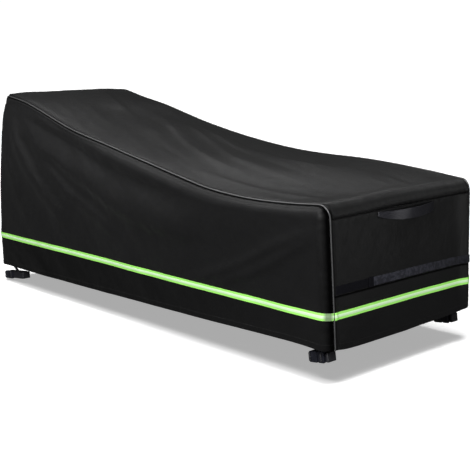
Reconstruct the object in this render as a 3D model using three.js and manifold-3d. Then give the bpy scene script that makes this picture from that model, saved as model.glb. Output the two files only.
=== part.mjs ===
// An outdoor chaise lounge cover, draped as it hangs over a lounge that isn't built.
// Millimetres, +X from the head end to the foot end, -Y the side with the name "near", +Z up.
// The drawing below has z = 0 near the hem and x = 0 at half length. The last lines move it so that the
// origin lies under the top panel at the middle of the seat, where the lounge holds the cover up.
import * as THREE from "three";
import Module from "manifold-3d";
import { mergeVertices } from "three/addons/utils/BufferGeometryUtils.js";

// ---------- driving sizes ----------
const LENGTH = 2100; // hem, head end to foot end
const CLOTH = 2; // coated polyester with its seam allowance, as one sheet
const GAP = 0.3; // between pieces that are sewn together
const CORNER_SEAM = THREE.MathUtils.degToRad(74); // how far a side panel wraps round each vertical corner
const EDGE_GAP = 3.1; // from the seam line to the edge of each panel it joins, along the cloth

// How far a side panel wraps over the rounded top edge: by `head` up to x0, and by `seat` from x1 on.
const SHOULDER_SEAM = {
  head: THREE.MathUtils.degToRad(45),
  seat: THREE.MathUtils.degToRad(65),
  x0: -560,
  x1: -120,
};

// Each end leans in by `inset` over its height. Its vertical corners have the radii reach (along x) and side
// (along y).
const ENDS = {
  head: { sign: -1, inset: 6, reach: 44, side: 34 },
  foot: { sign: 1, inset: 17, reach: 40, side: 44 },
};

// The height of the top runs from the head's to the foot's as a power of the distance from the foot, with a swell
// behind the head's edge.
const TOP_LINE = { head: 773, foot: 474, power: 1.84, swell: 11, swellAt: -720, swellSpread: 220 };

// The half width at the shoulder eases from the head's to the widest, then falls away to the foot's.
const SHOULDER = { head: 342, widest: 424, widestAt: 440, foot: 401 };

// The shoulder from head to foot. ry and rz: its radii across and down, tilt: how far the far edge stands higher
// than the middle, belly: the power by which the side leaves the width of the hem for that of the shoulder.
const TOP = [
  { x: -1006, ry: 23, rz: 40, tilt: 2, belly: 2.3 },
  { x: -850, ry: 17, rz: 20, tilt: -3, belly: 2.4 },
  { x: -680, ry: 17, rz: 16, tilt: 0, belly: 2.2 },
  { x: -510, ry: 18, rz: 18, tilt: -1, belly: 2 },
  { x: -340, ry: 26, rz: 28, tilt: -3, belly: 1.7 },
  { x: -170, ry: 36, rz: 40, tilt: -5, belly: 1.4 },
  { x: 0, ry: 43, rz: 48, tilt: -4, belly: 1.2 },
  { x: 170, ry: 46, rz: 52, tilt: 0, belly: 1.2 },
  { x: 340, ry: 46, rz: 52, tilt: 10, belly: 1.2 },
  { x: 510, ry: 44, rz: 48, tilt: 22, belly: 1.2 },
  { x: 680, ry: 41, rz: 42, tilt: 24, belly: 1.2 },
  { x: 850, ry: 42, rz: 40, tilt: 18, belly: 1.2 },
  { x: 1010, ry: 45, rz: 48, tilt: 7, belly: 1.2 },
];

// Folds end FOLD_FREE before each end and fade out over FOLD_FADE before that, and over EDGE_FADE of the half
// width beside the side seams. The end panels' bow fades out over BOW_FADE below the cross seams.
const FOLD_FREE = 50;
const FOLD_FADE = 110;
const EDGE_FADE = 0.18;
const BOW_FADE = 120;

// How far the middle of the top stands above (+) or sags below (-) its two edges.
const CROWN = [
  { x: -1006, rise: 0 },
  { x: -600, rise: -16 },
  { x: -100, rise: -14 },
  { x: 400, rise: 2 },
  { x: 850, rise: 9 },
  { x: 1010, rise: 4 },
];

// Height of the hem along each side, and half the width of the cover there.
const HEM = [
  { x: -1050, z: -28, half: 395 },
  { x: -600, z: -25, half: 393 },
  { x: -166, z: -19, half: 390 },
  { x: 440, z: -7, half: 390 },
  { x: 900, z: 5, half: 390 },
  { x: 1050, z: 2, half: 391 },
];
const FAR_HEM_RISE = 9; // the far side's hem lies this much higher
const CORNER_HEM_RISE = 1.5; // and rises this much at the vertical corners
const END_HEM_SAG = 7.5; // between its corners the hem of each end hangs this much lower
const END_BOW = 3; // each end panel hangs this much inwards at mid width

// Main folds of the side panels, drawn on the side from above: soft ridges (+) and troughs (-).
const SIDE_FOLDS = [
  { x0: -960, z0: 660, x1: -150, z1: 440, width: 60, rise: 9 },
  { x0: -985, z0: 640, x1: -330, z1: 330, width: 62, rise: -10 },
  { x0: -990, z0: 600, x1: -560, z1: 250, width: 58, rise: 9 },
  { x0: -1000, z0: 560, x1: -840, z1: 180, width: 52, rise: -7 },
  { x0: -300, z0: 500, x1: 760, z1: 385, width: 58, rise: -9 },
  { x0: 950, z0: 360, x1: 420, z1: 240, width: 55, rise: -7 },
  { x0: 960, z0: 330, x1: 640, z1: 170, width: 50, rise: 6 },
];

const FAR_FOLD_SHIFT = 60; // the far side hangs in folds of its own, this much nearer the head
const SIDE_FADE = { top: 70, free: 60, hem: 120 }; // they fade below the shoulder and above the tape

// Main folds of the top panel, seen from above.
const TOP_FOLDS = [
  { x0: -960, y0: 210, x1: 60, y1: 40, width: 66, rise: 8 },
  { x0: -940, y0: 90, x1: 120, y1: -70, width: 62, rise: -7 },
  { x0: -380, y0: 215, x1: 560, y1: 120, width: 60, rise: 7 },
  { x0: -300, y0: 110, x1: 640, y1: 20, width: 64, rise: -6 },
  { x0: -40, y0: -60, x1: 700, y1: -110, width: 60, rise: 5 },
];

// The foot end: heights of its seams and of what is sewn to it.
const VENT_SEAM = 178; // between the upper and lower foot panels
const TAPE = { z: 114, height: 24, thickness: 1 };
const VENT = { y0: -168, y1: 354, z0: 181, z1: 209, thickness: 1.2 };
const VENT_TAB = { y0: -192, y1: -169, z0: 178, z1: 212, thickness: 1.6 };
const VENT_FACING = { y0: -354, y1: -193, z0: 181, z1: 209, thickness: 1 };
const HANDLE = {
  y0: -142,
  y1: 154,
  under: 6, // the cross seam
  height: 35,
  nearTip: 13, // its height where it is caught in the seam
  farTip: 32,
  bulge: 30,
  thickness: 2,
};
const PIPING_RADIUS = 2.25;
const PIPING_STANDS = 0.8; // the piping's centre line outside the cloth's face

// Straps round the legs, each a loop of webbing closed by a side-release buckle on its -Y face, hung from the
// hem by a tab.
// x0, x1 and y: the outside of the loop, y that of its -Y face. tilt: degrees, its foot end the higher.
const STRAPS = [
  { name: "near_foot", x0: 934, x1: 1020, y: -360, z: -32, tilt: 8 },
  { name: "far_foot", x0: 924, x1: 1008, y: 322, z: -38, tilt: 7 },
  { name: "near_head", x0: -1044, x1: -880, y: -372, z: -76, tilt: 6 },
  { name: "far_head", x0: -1044, x1: -880, y: 326, z: -62, tilt: 3 },
];
// side: -1 near, 1 far. buckle and tab: where their middles lie along x. behind: how far the tab lies inside
// the loop's outer face.
const STRAP_FITTINGS = {
  near_foot: { side: -1, buckle: 974, tab: 984, behind: 8.6 },
  far_foot: { side: 1, buckle: 964, tab: 972, behind: 2.4 },
  near_head: { side: -1, buckle: -1003, tab: -920, behind: 2.4 },
  far_head: { side: 1, buckle: -1000, tab: -950, behind: 2.4 },
};
const WEBBING = { height: 30, thickness: 2, depth: 40, bend: 5 };
const STRAP_TAB = { width: 30, above: 34, thickness: 1.6, clear: 4 };
const BUCKLE = { height: 36, thickness: 11 };

// The buckle's socket, along x from its middle: its ends, the mouth of its hollow, the windows for the
// prongs and the slot for the webbing.
const SOCKET = {
  x0: -31,
  x1: 3,
  wall: 2.7,
  skin: 2.5,
  mouth: -18,
  window: [-15, -4],
  slot: [-28, -23],
  chamfer: 3,
};
// The plug likewise: a head with two slots for the webbing, a middle guide and two prongs with barbs.
const PLUG = {
  x0: 5,
  x1: 31,
  guideTip: -13,
  root: 7,
  thinner: 1, // than the socket, on each face
  jog: 5, // length in which the webbing comes from behind the plug to the loop's line
  prong: { tip: -14, z: 10, height: 5 },
  barb: { root: -6, z: 13.4 },
  slots: [
    [9.5, 13.5],
    [20, 24],
  ],
};

const SIDES = [
  ["near", -1],
  ["far", 1],
];

// ---------- rows and shapes ----------
const lerp = (a, b, t) => a + (b - a) * t;
const clamp = (v, lo, hi) => Math.min(Math.max(v, lo), hi);
const smooth = (t) => t * t * (3 - 2 * t);
const fadeOver = (distance, width) => smooth(clamp(distance / width, 0, 1));

// The value of `column` at x along a table, on a cubic through its rows.
function rowAt(table, column, x) {
  const last = table.length - 1;
  const at = clamp(x, table[0].x, table[last].x);
  const i = clamp(table.findIndex((row) => row.x >= at) - 1, 0, last - 1);
  const slope = (k) => {
    const a = table[Math.max(k - 1, 0)];
    const b = table[Math.min(k + 1, last)];
    return (b[column] - a[column]) / (b.x - a.x);
  };
  const span = table[i + 1].x - table[i].x;
  const t = (at - table[i].x) / span;
  const eased = lerp(table[i][column], table[i + 1][column], smooth(t));
  return eased + span * t * (1 - t) * ((1 - t) * slope(i) - t * slope(i + 1));
}

// A fold's height at a point (a, b) of its drawing: a soft ridge along a line that fades at both ends.
function foldAt(folds, b0, b1, a, b) {
  let rise = 0;
  for (const f of folds) {
    const da = f.x1 - f.x0;
    const db = f[b1] - f[b0];
    const along = ((a - f.x0) * da + (b - f[b0]) * db) / (da * da + db * db);
    const off = ((b - f[b0]) * da - (a - f.x0) * db) / Math.hypot(da, db);
    if (along > 0 && along < 1) {
      rise += f.rise * Math.sin(Math.PI * along) * Math.exp(-((off / (0.5 * f.width)) ** 2));
    }
  }
  return rise;
}

const hemAt = (x, across) => rowAt(HEM, "z", x) + FAR_HEM_RISE * Math.max(across, 0);

// The top of the rounded core at x, and at `across` from -1 (near) to 1 (far).
function topLine(x) {
  const { head, foot, power, swell, swellAt, swellSpread } = TOP_LINE;
  const fromFoot = clamp((CORE_X.foot - x) / (CORE_X.foot - CORE_X.head), 0, 1);
  return foot + (head - foot) * fromFoot ** power + swell * Math.exp(-(((x - swellAt) / swellSpread) ** 2));
}

function halfWidth(x) {
  const { head, widest, widestAt, foot } = SHOULDER;
  const before = clamp((widestAt - x) / (widestAt - CORE_X.head), 0, 1);
  const after = clamp((x - widestAt) / (CORE_X.foot - widestAt), 0, 1);
  return widest - (widest - head) * Math.sin((before * Math.PI) / 2) ** 2 - (widest - foot) * after ** 2;
}

const coreTop = (x, across) => topLine(x) + rowAt(TOP, "tilt", x) * across - rowAt(TOP, "rz", x);

// Radii and half width of the cover at height z over station x.
function levelAt(x, z, across) {
  const t = clamp(z / coreTop(x, across), 0, 1);
  const end = x < 0 ? ENDS.head : ENDS.foot;
  return {
    half: lerp(rowAt(HEM, "half", x), halfWidth(x), t ** rowAt(TOP, "belly", x)),
    ry: lerp(end.side, rowAt(TOP, "ry", x), t),
    scale: 1 - (end.inset * t) / (LENGTH / 2 - end.reach),
  };
}

const CORE_X = { head: -(LENGTH / 2 - ENDS.head.reach), foot: LENGTH / 2 - ENDS.foot.reach };

// The angle of the seam round an edge, from its share of `over` the shoulder to round a corner.
function seamAngle(overShare, x) {
  const { head, seat, x0, x1 } = SHOULDER_SEAM;
  const shoulder = lerp(head, seat, fadeOver(x - x0, x1 - x0));
  return lerp(CORNER_SEAM, shoulder, overShare);
}

// The angle that a length of cloth takes up at the seam of an edge, with radii ry across and r the other way.
function seamTurn(size, ry, r, overShare, x) {
  const angle = seamAngle(overShare, x);
  return size / Math.hypot(r * Math.cos(angle), ry * Math.sin(angle));
}

// A point of a side panel. x lies on the core, and face goes from the hem (0) to the core's top (1). round
// (signed) turns it round a vertical corner and over turns it over the shoulder, as shares of the seam's
// angle. trim ends the panel that far before the seam.
function sidePoint(side, x, face, round, over, trim = 0) {
  const end = x < 0 ? ENDS.head : ENDS.foot;
  const hem = hemAt(x, side) + CORNER_HEM_RISE * Math.abs(round);
  const z = lerp(hem, coreTop(x, side), face);
  const level = levelAt(x, z, side);
  const rz = rowAt(TOP, "rz", x);
  const length = Math.hypot(round, over) || 1;
  const roundShare = round / length;
  const overShare = over / length;
  const cut = seamTurn(trim, level.ry, lerp(end.reach, rz, overShare ** 2), overShare ** 2, x);
  const turn = Math.max(Math.abs(round), over) * (seamAngle(overShare ** 2, x) - cut);
  return new THREE.Vector3(
    x * level.scale + end.reach * Math.sin(turn) * roundShare,
    side * (level.half - level.ry + level.ry * Math.cos(turn)),
    z + rz * Math.sin(turn) * overShare,
  );
}

// The point of the seam between a side panel and the top or an end, at its direction `lift`
// (0 level, at an end; 90 degrees straight up) on the rounded edge.
function edgePoint(side, x, z, lift, turn) {
  const end = x < 0 ? ENDS.head : ENDS.foot;
  const level = levelAt(x, z, side);
  const rz = rowAt(TOP, "rz", x);
  return new THREE.Vector3(
    x * level.scale + end.sign * end.reach * Math.cos(lift) * Math.sin(turn),
    side * (level.half - level.ry + level.ry * Math.cos(turn)),
    z + rz * Math.sin(lift) * Math.sin(turn),
  );
}

// The stations of a profile that runs over the top: core points with the direction they face.
const UP = Math.PI / 2;
const ARC_HALF = [0, Math.atan(1 / 3), Math.atan(2 / 3)];
const ARC = [...ARC_HALF, UP / 2, ...ARC_HALF.map((lift) => UP - lift).reverse()];
const CORE_STATIONS = 30;
const stationsX = Array.from({ length: CORE_STATIONS + 1 }, (_, i) =>
  lerp(CORE_X.head, CORE_X.foot, i / CORE_STATIONS),
);
const topStations = [
  ...ARC.slice(0, -1).map((lift) => ({ x: CORE_X.head, lift })),
  ...stationsX.map((x) => ({ x, lift: UP })),
  ...ARC.slice(0, -1).reverse().map((lift) => ({ x: CORE_X.foot, lift })),
];

// Across a top or end panel: the last of the rounding at each side, and the flat between.
const ACROSS_FLAT = [-1, -0.9, -0.72, -0.5, -0.25, 0, 0.25, 0.5, 0.72, 0.9, 1];
const acrossRow = [
  { side: -1, turn: 0 },
  { side: -1, turn: 0.5 },
  ...ACROSS_FLAT.map((flat) => ({ flat })),
  { side: 1, turn: 0.5 },
  { side: 1, turn: 0 },
];

const endFade = (x) => fadeOver(LENGTH / 2 - FOLD_FREE - Math.abs(x), FOLD_FADE);

// A point of the top panel, or of an end panel where zCore is given.
function crossPoint(station, column, zCore) {
  const { x, lift } = station;
  const end = x < 0 ? ENDS.head : ENDS.foot;
  const across = column.side ?? column.flat;
  const top = coreTop(x, across);
  const z = zCore === undefined ? top : zCore(across);
  const level = levelAt(x, z, across);
  const rz = rowAt(TOP, "rz", x);
  if (column.side) {
    const overShare = Math.sin(lift) ** 2;
    const gap = seamTurn(EDGE_GAP, level.ry, lerp(end.reach, rz, overShare), overShare, x);
    const first = seamAngle(overShare, x) + gap;
    return edgePoint(column.side, x, z, lift, lerp(first, UP, column.turn));
  }
  const y = column.flat * (level.half - level.ry);
  const bow = Math.cos(UP * column.flat) ** 2;
  let stands = -END_BOW * bow * fadeOver(top - z, BOW_FADE);
  if (zCore === undefined) {
    const inside = endFade(x) * fadeOver(1 - Math.abs(column.flat), EDGE_FADE);
    stands = rowAt(CROWN, "rise", x) * Math.sin(lift) * bow + foldAt(TOP_FOLDS, "y0", "y1", x, y) * inside;
  }
  return new THREE.Vector3(
    x * level.scale + end.sign * (end.reach + stands) * Math.cos(lift),
    y,
    z + (rz + stands) * Math.sin(lift),
  );
}

// ---------- solids ----------
function geometryOf(points, triangles) {
  const geometry = new THREE.BufferGeometry();
  const position = points.flatMap((p) => [p.x, p.y, p.z]);
  geometry.setAttribute("position", new THREE.Float32BufferAttribute(position, 3));
  geometry.setIndex(triangles);
  return geometry;
}

// Directions square to a grid of points, from its neighbours.
function gridNormals(grid, loop) {
  const rows = grid.length;
  const columns = grid[0].length;
  return grid.map((row, i) =>
    row.map((_, j) => {
      const before = loop ? grid[(i + rows - 1) % rows][j] : grid[Math.max(i - 1, 0)][j];
      const after = loop ? grid[(i + 1) % rows][j] : grid[Math.min(i + 1, rows - 1)][j];
      const along = after.clone().sub(before);
      const beside = grid[i][Math.min(j + 1, columns - 1)].clone().sub(grid[i][Math.max(j - 1, 0)]);
      return along.cross(beside).normalize();
    }),
  );
}

// A sheet of the given thickness behind a grid of points on its outer face. `flip` says that the grid's
// rows and columns run the other way round, `stand` sets the outer face off the grid, and a `loop` closes
// on itself.
function sheet(grid, thickness, { flip = false, stand = 0, loop = false } = {}) {
  const rows = grid.length;
  const columns = grid[0].length;
  const sign = flip ? -1 : 1;
  const normals = gridNormals(grid, loop);
  const offGrid = (distance) =>
    grid.flatMap((row, i) => row.map((p, j) => p.clone().addScaledVector(normals[i][j], sign * distance)));
  const outer = offGrid(stand);
  const inner = offGrid(stand - thickness);
  const offset = outer.length;
  const triangles = [];
  const quad = (a, b, c, d) => triangles.push(...(flip ? [a, c, b, a, d, c] : [a, b, c, a, c, d]));
  const at = (i, j) => (i % rows) * columns + j;
  const lastRow = loop ? rows : rows - 1;
  for (let i = 0; i < lastRow; i++) {
    for (let j = 0; j < columns - 1; j++) {
      quad(at(i, j), at(i + 1, j), at(i + 1, j + 1), at(i, j + 1));
      quad(offset + at(i, j), offset + at(i, j + 1), offset + at(i + 1, j + 1), offset + at(i + 1, j));
    }
    quad(at(i, 0), offset + at(i, 0), offset + at(i + 1, 0), at(i + 1, 0));
    const j = columns - 1;
    quad(at(i, j), at(i + 1, j), offset + at(i + 1, j), offset + at(i, j));
  }
  if (!loop) {
    for (let j = 0; j < columns - 1; j++) {
      quad(at(0, j), at(0, j + 1), offset + at(0, j + 1), offset + at(0, j));
      const i = rows - 1;
      quad(at(i, j), offset + at(i, j), offset + at(i, j + 1), at(i, j + 1));
    }
  }
  return geometryOf([...outer, ...inner], triangles);
}

// A round cord through points, each with the direction that faces out of the cloth.
function cord(points, outward, radius, sides = 6) {
  const rings = points.map((p, i) => {
    const next = points[Math.min(i + 1, points.length - 1)];
    const tangent = next.clone().sub(points[Math.max(i - 1, 0)]).normalize();
    const beside = tangent.clone().cross(outward[i]).normalize();
    const out = beside.clone().cross(tangent);
    return Array.from({ length: sides }, (_, k) => {
      const angle = (2 * Math.PI * k) / sides;
      const turned = out.clone().multiplyScalar(Math.cos(angle)).addScaledVector(beside, Math.sin(angle));
      return p.clone().addScaledVector(turned, radius);
    });
  });
  const triangles = [];
  const at = (i, k) => i * sides + (k % sides);
  for (let i = 0; i < rings.length - 1; i++) {
    for (let k = 0; k < sides; k++) {
      triangles.push(at(i, k), at(i, k + 1), at(i + 1, k + 1), at(i, k), at(i + 1, k + 1), at(i + 1, k));
    }
  }
  for (let k = 1; k < sides - 1; k++) {
    triangles.push(at(0, 0), at(0, k + 1), at(0, k));
    const last = rings.length - 1;
    triangles.push(at(last, 0), at(last, k), at(last, k + 1));
  }
  return geometryOf(rings.flat(), triangles);
}

const wasm = await Module();
wasm.setup();

function solidFrom(geometry) {
  const bare = geometry.index ? geometry.toNonIndexed() : geometry.clone();
  bare.deleteAttribute("normal");
  bare.deleteAttribute("uv");
  const merged = mergeVertices(bare, 1e-4);
  const vertProperties = merged.attributes.position.array;
  const triVerts = new Uint32Array(merged.index.array);
  return new wasm.Manifold(new wasm.Mesh({ numProp: 3, vertProperties, triVerts }));
}

function geometryFrom(solid) {
  const mesh = solid.getMesh();
  const geometry = new THREE.BufferGeometry();
  geometry.setAttribute("position", new THREE.BufferAttribute(mesh.vertProperties, 3));
  geometry.setIndex(new THREE.BufferAttribute(mesh.triVerts, 1));
  return geometry;
}

// ---------- materials ----------
const finish = (color, roughness) => new THREE.MeshStandardMaterial({ color, roughness, metalness: 0 });
const CLOTH_BLACK = finish(0x1b1b1c, 0.62);
const PIPING_GREY = finish(0x3a3b3d, 0.5);
const REFLECTIVE_GREEN = finish(0x9df53c, 0.4);
const VENT_GREY = finish(0x3c3e46, 0.7);
const TWILL_BLACK = finish(0x17181b, 0.75);
const WEBBING_GREY = finish(0x35353d, 0.6);
const WEBBING_BLACK = finish(0x141417, 0.7);
const BUCKLE_BLACK = finish(0x101012, 0.35);

const cover = new THREE.Group();
cover.name = "chaise_lounge_cover";
function add(name, geometry, material, parent = cover) {
  const mesh = new THREE.Mesh(geometry, material);
  mesh.name = name;
  parent.add(mesh);
  return mesh;
}

// ---------- side panels ----------
const TURNS = [1, 2 / 3, 1 / 3];
const sideColumns = [
  ...TURNS.map((turn) => ({ x: CORE_X.head, round: -turn })),
  ...stationsX.map((x) => ({ x, round: 0 })),
  ...[...TURNS].reverse().map((turn) => ({ x: CORE_X.foot, round: turn })),
];
const FACE_ROWS = [0, 0.1, 0.2, 0.32, 0.45, 0.58, 0.7, 0.8, 0.9, 1];
const sideRows = [
  ...FACE_ROWS.map((face) => ({ face, over: 0 })),
  ...[...TURNS].reverse().map((over) => ({ face: 1, over })),
];

function sideFold(side, x, z, top) {
  const inside = fadeOver(top - z, SIDE_FADE.top) * fadeOver(z - SIDE_FADE.free, SIDE_FADE.hem);
  const shift = side > 0 ? FAR_FOLD_SHIFT : 0;
  return foldAt(SIDE_FOLDS, "z0", "z1", x + shift, z) * inside * endFade(x);
}

// A side panel's point with its folds; `round` and `over` are 0 on the flat of the side.
function foldedSide(side, column, row, trim) {
  const p = sidePoint(side, column.x, row.face, column.round, row.over, trim);
  if (column.round === 0 && row.over === 0) p.y += side * sideFold(side, p.x, p.z, coreTop(column.x, side));
  return p;
}

for (const [name, side] of SIDES) {
  const grid = sideColumns.map((column) => sideRows.map((row) => foldedSide(side, column, row, EDGE_GAP)));
  add("side_panel_" + name, sheet(grid, CLOTH, { flip: side > 0 }), CLOTH_BLACK);
}

// ---------- top and end panels ----------
const topGrid = topStations.map((station) => acrossRow.map((column) => crossPoint(station, column)));
add("top_panel", sheet(topGrid, CLOTH), CLOTH_BLACK);

// An end panel between two heights; `low` and `high` take the place across, from -1 near to 1 far.
function endGrid(end, shares, low, high) {
  const station = { x: CORE_X[end], lift: 0 };
  return shares.map((share) =>
    acrossRow.map((column) => crossPoint(station, column, (a) => lerp(low(a), high(a), share))),
  );
}

const endHem = (x) => (across) => hemAt(x, across) + CORNER_HEM_RISE - END_HEM_SAG * (1 - across ** 8);
const endTop = (x) => (across) => coreTop(x, across) - GAP * 2;
const atHeight = (z) => () => z;

function addEndPanel(name, end, shares, low, high) {
  const sheetOptions = { flip: end === "foot" };
  add(name, sheet(endGrid(end, shares, low, high), CLOTH, sheetOptions), CLOTH_BLACK);
}
const HEAD_SHARES = [0, 0.15, 0.3, 0.45, 0.6, 0.75, 0.9, 1];
const UPPER_SHARES = [0, 0.25, 0.5, 0.75, 1];
const LOWER_SHARES = [0, 0.33, 0.66, 1];
addEndPanel("head_end_panel", "head", HEAD_SHARES, endHem(CORE_X.head), endTop(CORE_X.head));
addEndPanel("foot_upper_panel", "foot", UPPER_SHARES, atHeight(VENT_SEAM + GAP), endTop(CORE_X.foot));
addEndPanel("foot_lower_panel", "foot", LOWER_SHARES, endHem(CORE_X.foot), atHeight(VENT_SEAM - GAP));

// ---------- piping ----------
// One cord on each side, from the hem at the head, over the top and down to the hem at the foot.
function pipingRun(side) {
  const points = [];
  const outward = [];
  const put = (x, z, lift) => {
    const turn = seamAngle(Math.sin(lift) ** 2, x);
    points.push(edgePoint(side, x, z, lift, turn));
    const away = Math.sin(turn);
    const lengthwise = Math.sign(x) * Math.cos(lift) * away;
    outward.push(new THREE.Vector3(lengthwise, side * Math.cos(turn), Math.sin(lift) * away));
  };
  const riser = (x, order) => {
    const top = coreTop(x, side);
    const hem = hemAt(x, side) + CORNER_HEM_RISE;
    order.forEach((face) => put(x, lerp(hem, top, face), 0));
  };
  riser(CORE_X.head, FACE_ROWS.slice(0, -1));
  topStations.forEach(({ x, lift }) => put(x, coreTop(x, side), lift));
  riser(CORE_X.foot, FACE_ROWS.slice(0, -1).reverse());
  return { points: points.map((p, i) => p.addScaledVector(outward[i], PIPING_STANDS)), outward };
}

for (const [name, side] of SIDES) {
  const run = pipingRun(side);
  add("piping_" + name, cord(run.points, run.outward, PIPING_RADIUS), PIPING_GREY);
}

// ---------- reflective tape ----------
// One tape sewn round the whole cover, over the panels and the piping.
function tapeGrid() {
  const heights = [TAPE.z - TAPE.height / 2, TAPE.z + TAPE.height / 2];
  const place = (side, column, z) => {
    const top = coreTop(column.x, side);
    const hem = hemAt(column.x, side) + CORNER_HEM_RISE * Math.abs(column.round);
    return foldedSide(side, column, { face: (z - hem) / (top - hem), over: 0 }, 0);
  };
  const across = acrossRow.slice(1, -1);
  const end = (x, column, z) => crossPoint({ x, lift: 0 }, column, atHeight(z));
  return [
    ...sideColumns.map((column) => heights.map((z) => place(-1, column, z))),
    ...across.map((column) => heights.map((z) => end(CORE_X.foot, column, z))),
    ...[...sideColumns].reverse().map((column) => heights.map((z) => place(1, column, z))),
    ...[...across].reverse().map((column) => heights.map((z) => end(CORE_X.head, column, z))),
  ];
}

const OVER_PIPING = PIPING_RADIUS + PIPING_STANDS + 2 * GAP + TAPE.thickness;
const OVER_CLOTH = 2 * GAP + TAPE.thickness;

// The ring set off the cloth, further where it crosses the piping at the four vertical corners.
function standingTape(ring) {
  const normals = gridNormals(ring, true);
  const sideEnd = sideColumns.length - 1;
  const farStart = sideColumns.length + acrossRow.length - 2;
  const corners = [0, sideEnd, farStart, farStart + sideEnd];
  return ring.map((pair, i) => {
    const stand = corners.includes(i) ? OVER_PIPING : OVER_CLOTH;
    return pair.map((p, j) => p.clone().addScaledVector(normals[i][j], stand));
  });
}
add("reflective_tape", sheet(standingTape(tapeGrid()), TAPE.thickness, { loop: true }), REFLECTIVE_GREEN);

// ---------- what is sewn to the foot end ----------
// The outer face of the foot end at (y, z).
function footFace(y, z) {
  const { half, ry } = levelAt(CORE_X.foot, z, 0);
  return crossPoint({ x: CORE_X.foot, lift: 0 }, { flat: clamp(y / (half - ry), -1, 1) }, atHeight(z)).x;
}

function patch({ y0, y1, z0, z1, thickness }, pieces = 6) {
  const grid = [z0, lerp(z0, z1, 0.5), z1].map((z) =>
    Array.from({ length: pieces + 1 }, (_, i) => {
      const y = lerp(y0, y1, i / pieces);
      return new THREE.Vector3(footFace(y, z), y, z);
    }),
  );
  return sheet(grid, thickness, { flip: true, stand: thickness + GAP * 1.5 });
}
add("vent_strip", patch(VENT, 8), VENT_GREY);
add("vent_end_tab", patch(VENT_TAB, 2), TWILL_BLACK);
add("vent_facing", patch(VENT_FACING, 5), TWILL_BLACK);

// The carry handle: webbing caught under the cross seam at both ends, pinched at the near one, and standing
// off the panel between them.
const HANDLE_STEPS = 16;
function handlePoint(t, down) {
  const open = Math.sin(Math.PI * t);
  const y = lerp(HANDLE.y0, HANDLE.y1, t);
  const height = lerp(t < 0.5 ? HANDLE.nearTip : HANDLE.farTip, HANDLE.height, open ** 0.6);
  const z = coreTop(CORE_X.foot, y / halfWidth(CORE_X.foot)) - HANDLE.under - down * height;
  return new THREE.Vector3(footFace(y, z) + HANDLE.bulge * open ** 0.8, y, z);
}
const handleGrid = [0, 0.5, 1].map((down) =>
  Array.from({ length: HANDLE_STEPS + 1 }, (_, i) => handlePoint(i / HANDLE_STEPS, down)),
);
add("carry_handle", sheet(handleGrid, HANDLE.thickness, { stand: HANDLE.thickness + GAP }), WEBBING_GREY);

// ---------- leg straps and buckles ----------
// An outline in plan as a solid of the given height, half of it above z = 0.
function upright(shape, height) {
  const solid = new THREE.ExtrudeGeometry(shape, { depth: height, bevelEnabled: false });
  return solidFrom(solid.translate(0, 0, -height / 2));
}

// Webbing turned round a bar of the buckle, in plan: the bar from x0 to x1 and `thick` deep.
function webbingTurn(x0, x1, thick) {
  const { thickness } = WEBBING;
  const around = (stand) => {
    const y = thick / 2 + stand;
    return [
      new THREE.Vector2(x0 - stand, -y),
      new THREE.Vector2(x1 + stand, -y),
      new THREE.Vector2(x1 + stand, y),
      new THREE.Vector2(x0 - stand, y),
    ];
  };
  const shape = new THREE.Shape(around(GAP + thickness));
  shape.holes.push(new THREE.Path(around(GAP)));
  return shape;
}

// A loop of webbing seen from above, centred. Its ends turn round the bars of a buckle on its -Y face.
function strapWebbing(length, buckleX) {
  const { depth, thickness, bend, height } = WEBBING;
  const behindPlug = BUCKLE.thickness / 2 - PLUG.thinner + GAP;
  const side = (inset) => {
    const a = length / 2 - inset;
    const b = depth / 2 - inset;
    const r = bend - inset;
    const path = [
      new THREE.Vector2(buckleX + PLUG.slots[1][0] + GAP, behindPlug + inset - depth / 2),
      new THREE.Vector2(buckleX + PLUG.x1 + GAP, behindPlug + inset - depth / 2),
      new THREE.Vector2(buckleX + PLUG.x1 + PLUG.jog, -b),
    ];
    const corners = [[1, -1, -UP], [1, 1, 0], [-1, 1, UP], [-1, -1, 2 * UP]];
    for (const [cx, cy, start] of corners) {
      for (let k = 0; k <= 3; k++) {
        const angle = start + (UP * k) / 3;
        const x = cx * (a - r) + r * Math.cos(angle);
        path.push(new THREE.Vector2(x, cy * (b - r) + r * Math.sin(angle)));
      }
    }
    path.push(new THREE.Vector2(buckleX + SOCKET.x0 - GAP - thickness / 2, -b));
    return path;
  };
  const band = new THREE.Shape([...side(0), ...side(thickness).reverse()]);
  const socketTurn = webbingTurn(SOCKET.x0, SOCKET.slot[0], BUCKLE.thickness);
  const plugTurn = webbingTurn(PLUG.slots[0][1], PLUG.slots[1][0], BUCKLE.thickness - 2 * PLUG.thinner);
  const turns = upright(socketTurn, height).add(upright(plugTurn, height));
  return geometryFrom(upright(band, height).add(turns.translate(buckleX, -depth / 2, 0)));
}

// A bar from x0 to x1 with chamfered ends, `tall` in z and `thick` in y.
function bar(x0, x1, tall, thick, chamfer, z = 0) {
  const h = tall / 2;
  const shape = new THREE.Shape([
    new THREE.Vector2(x0 + chamfer, -h),
    new THREE.Vector2(x1 - chamfer, -h),
    new THREE.Vector2(x1, -h + chamfer),
    new THREE.Vector2(x1, h - chamfer),
    new THREE.Vector2(x1 - chamfer, h),
    new THREE.Vector2(x0 + chamfer, h),
    new THREE.Vector2(x0, h - chamfer),
    new THREE.Vector2(x0, -h + chamfer),
  ]);
  const solid = new THREE.ExtrudeGeometry(shape, { depth: thick, bevelEnabled: false });
  return solidFrom(solid.rotateX(Math.PI / 2).translate(0, thick / 2, z));
}

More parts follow.
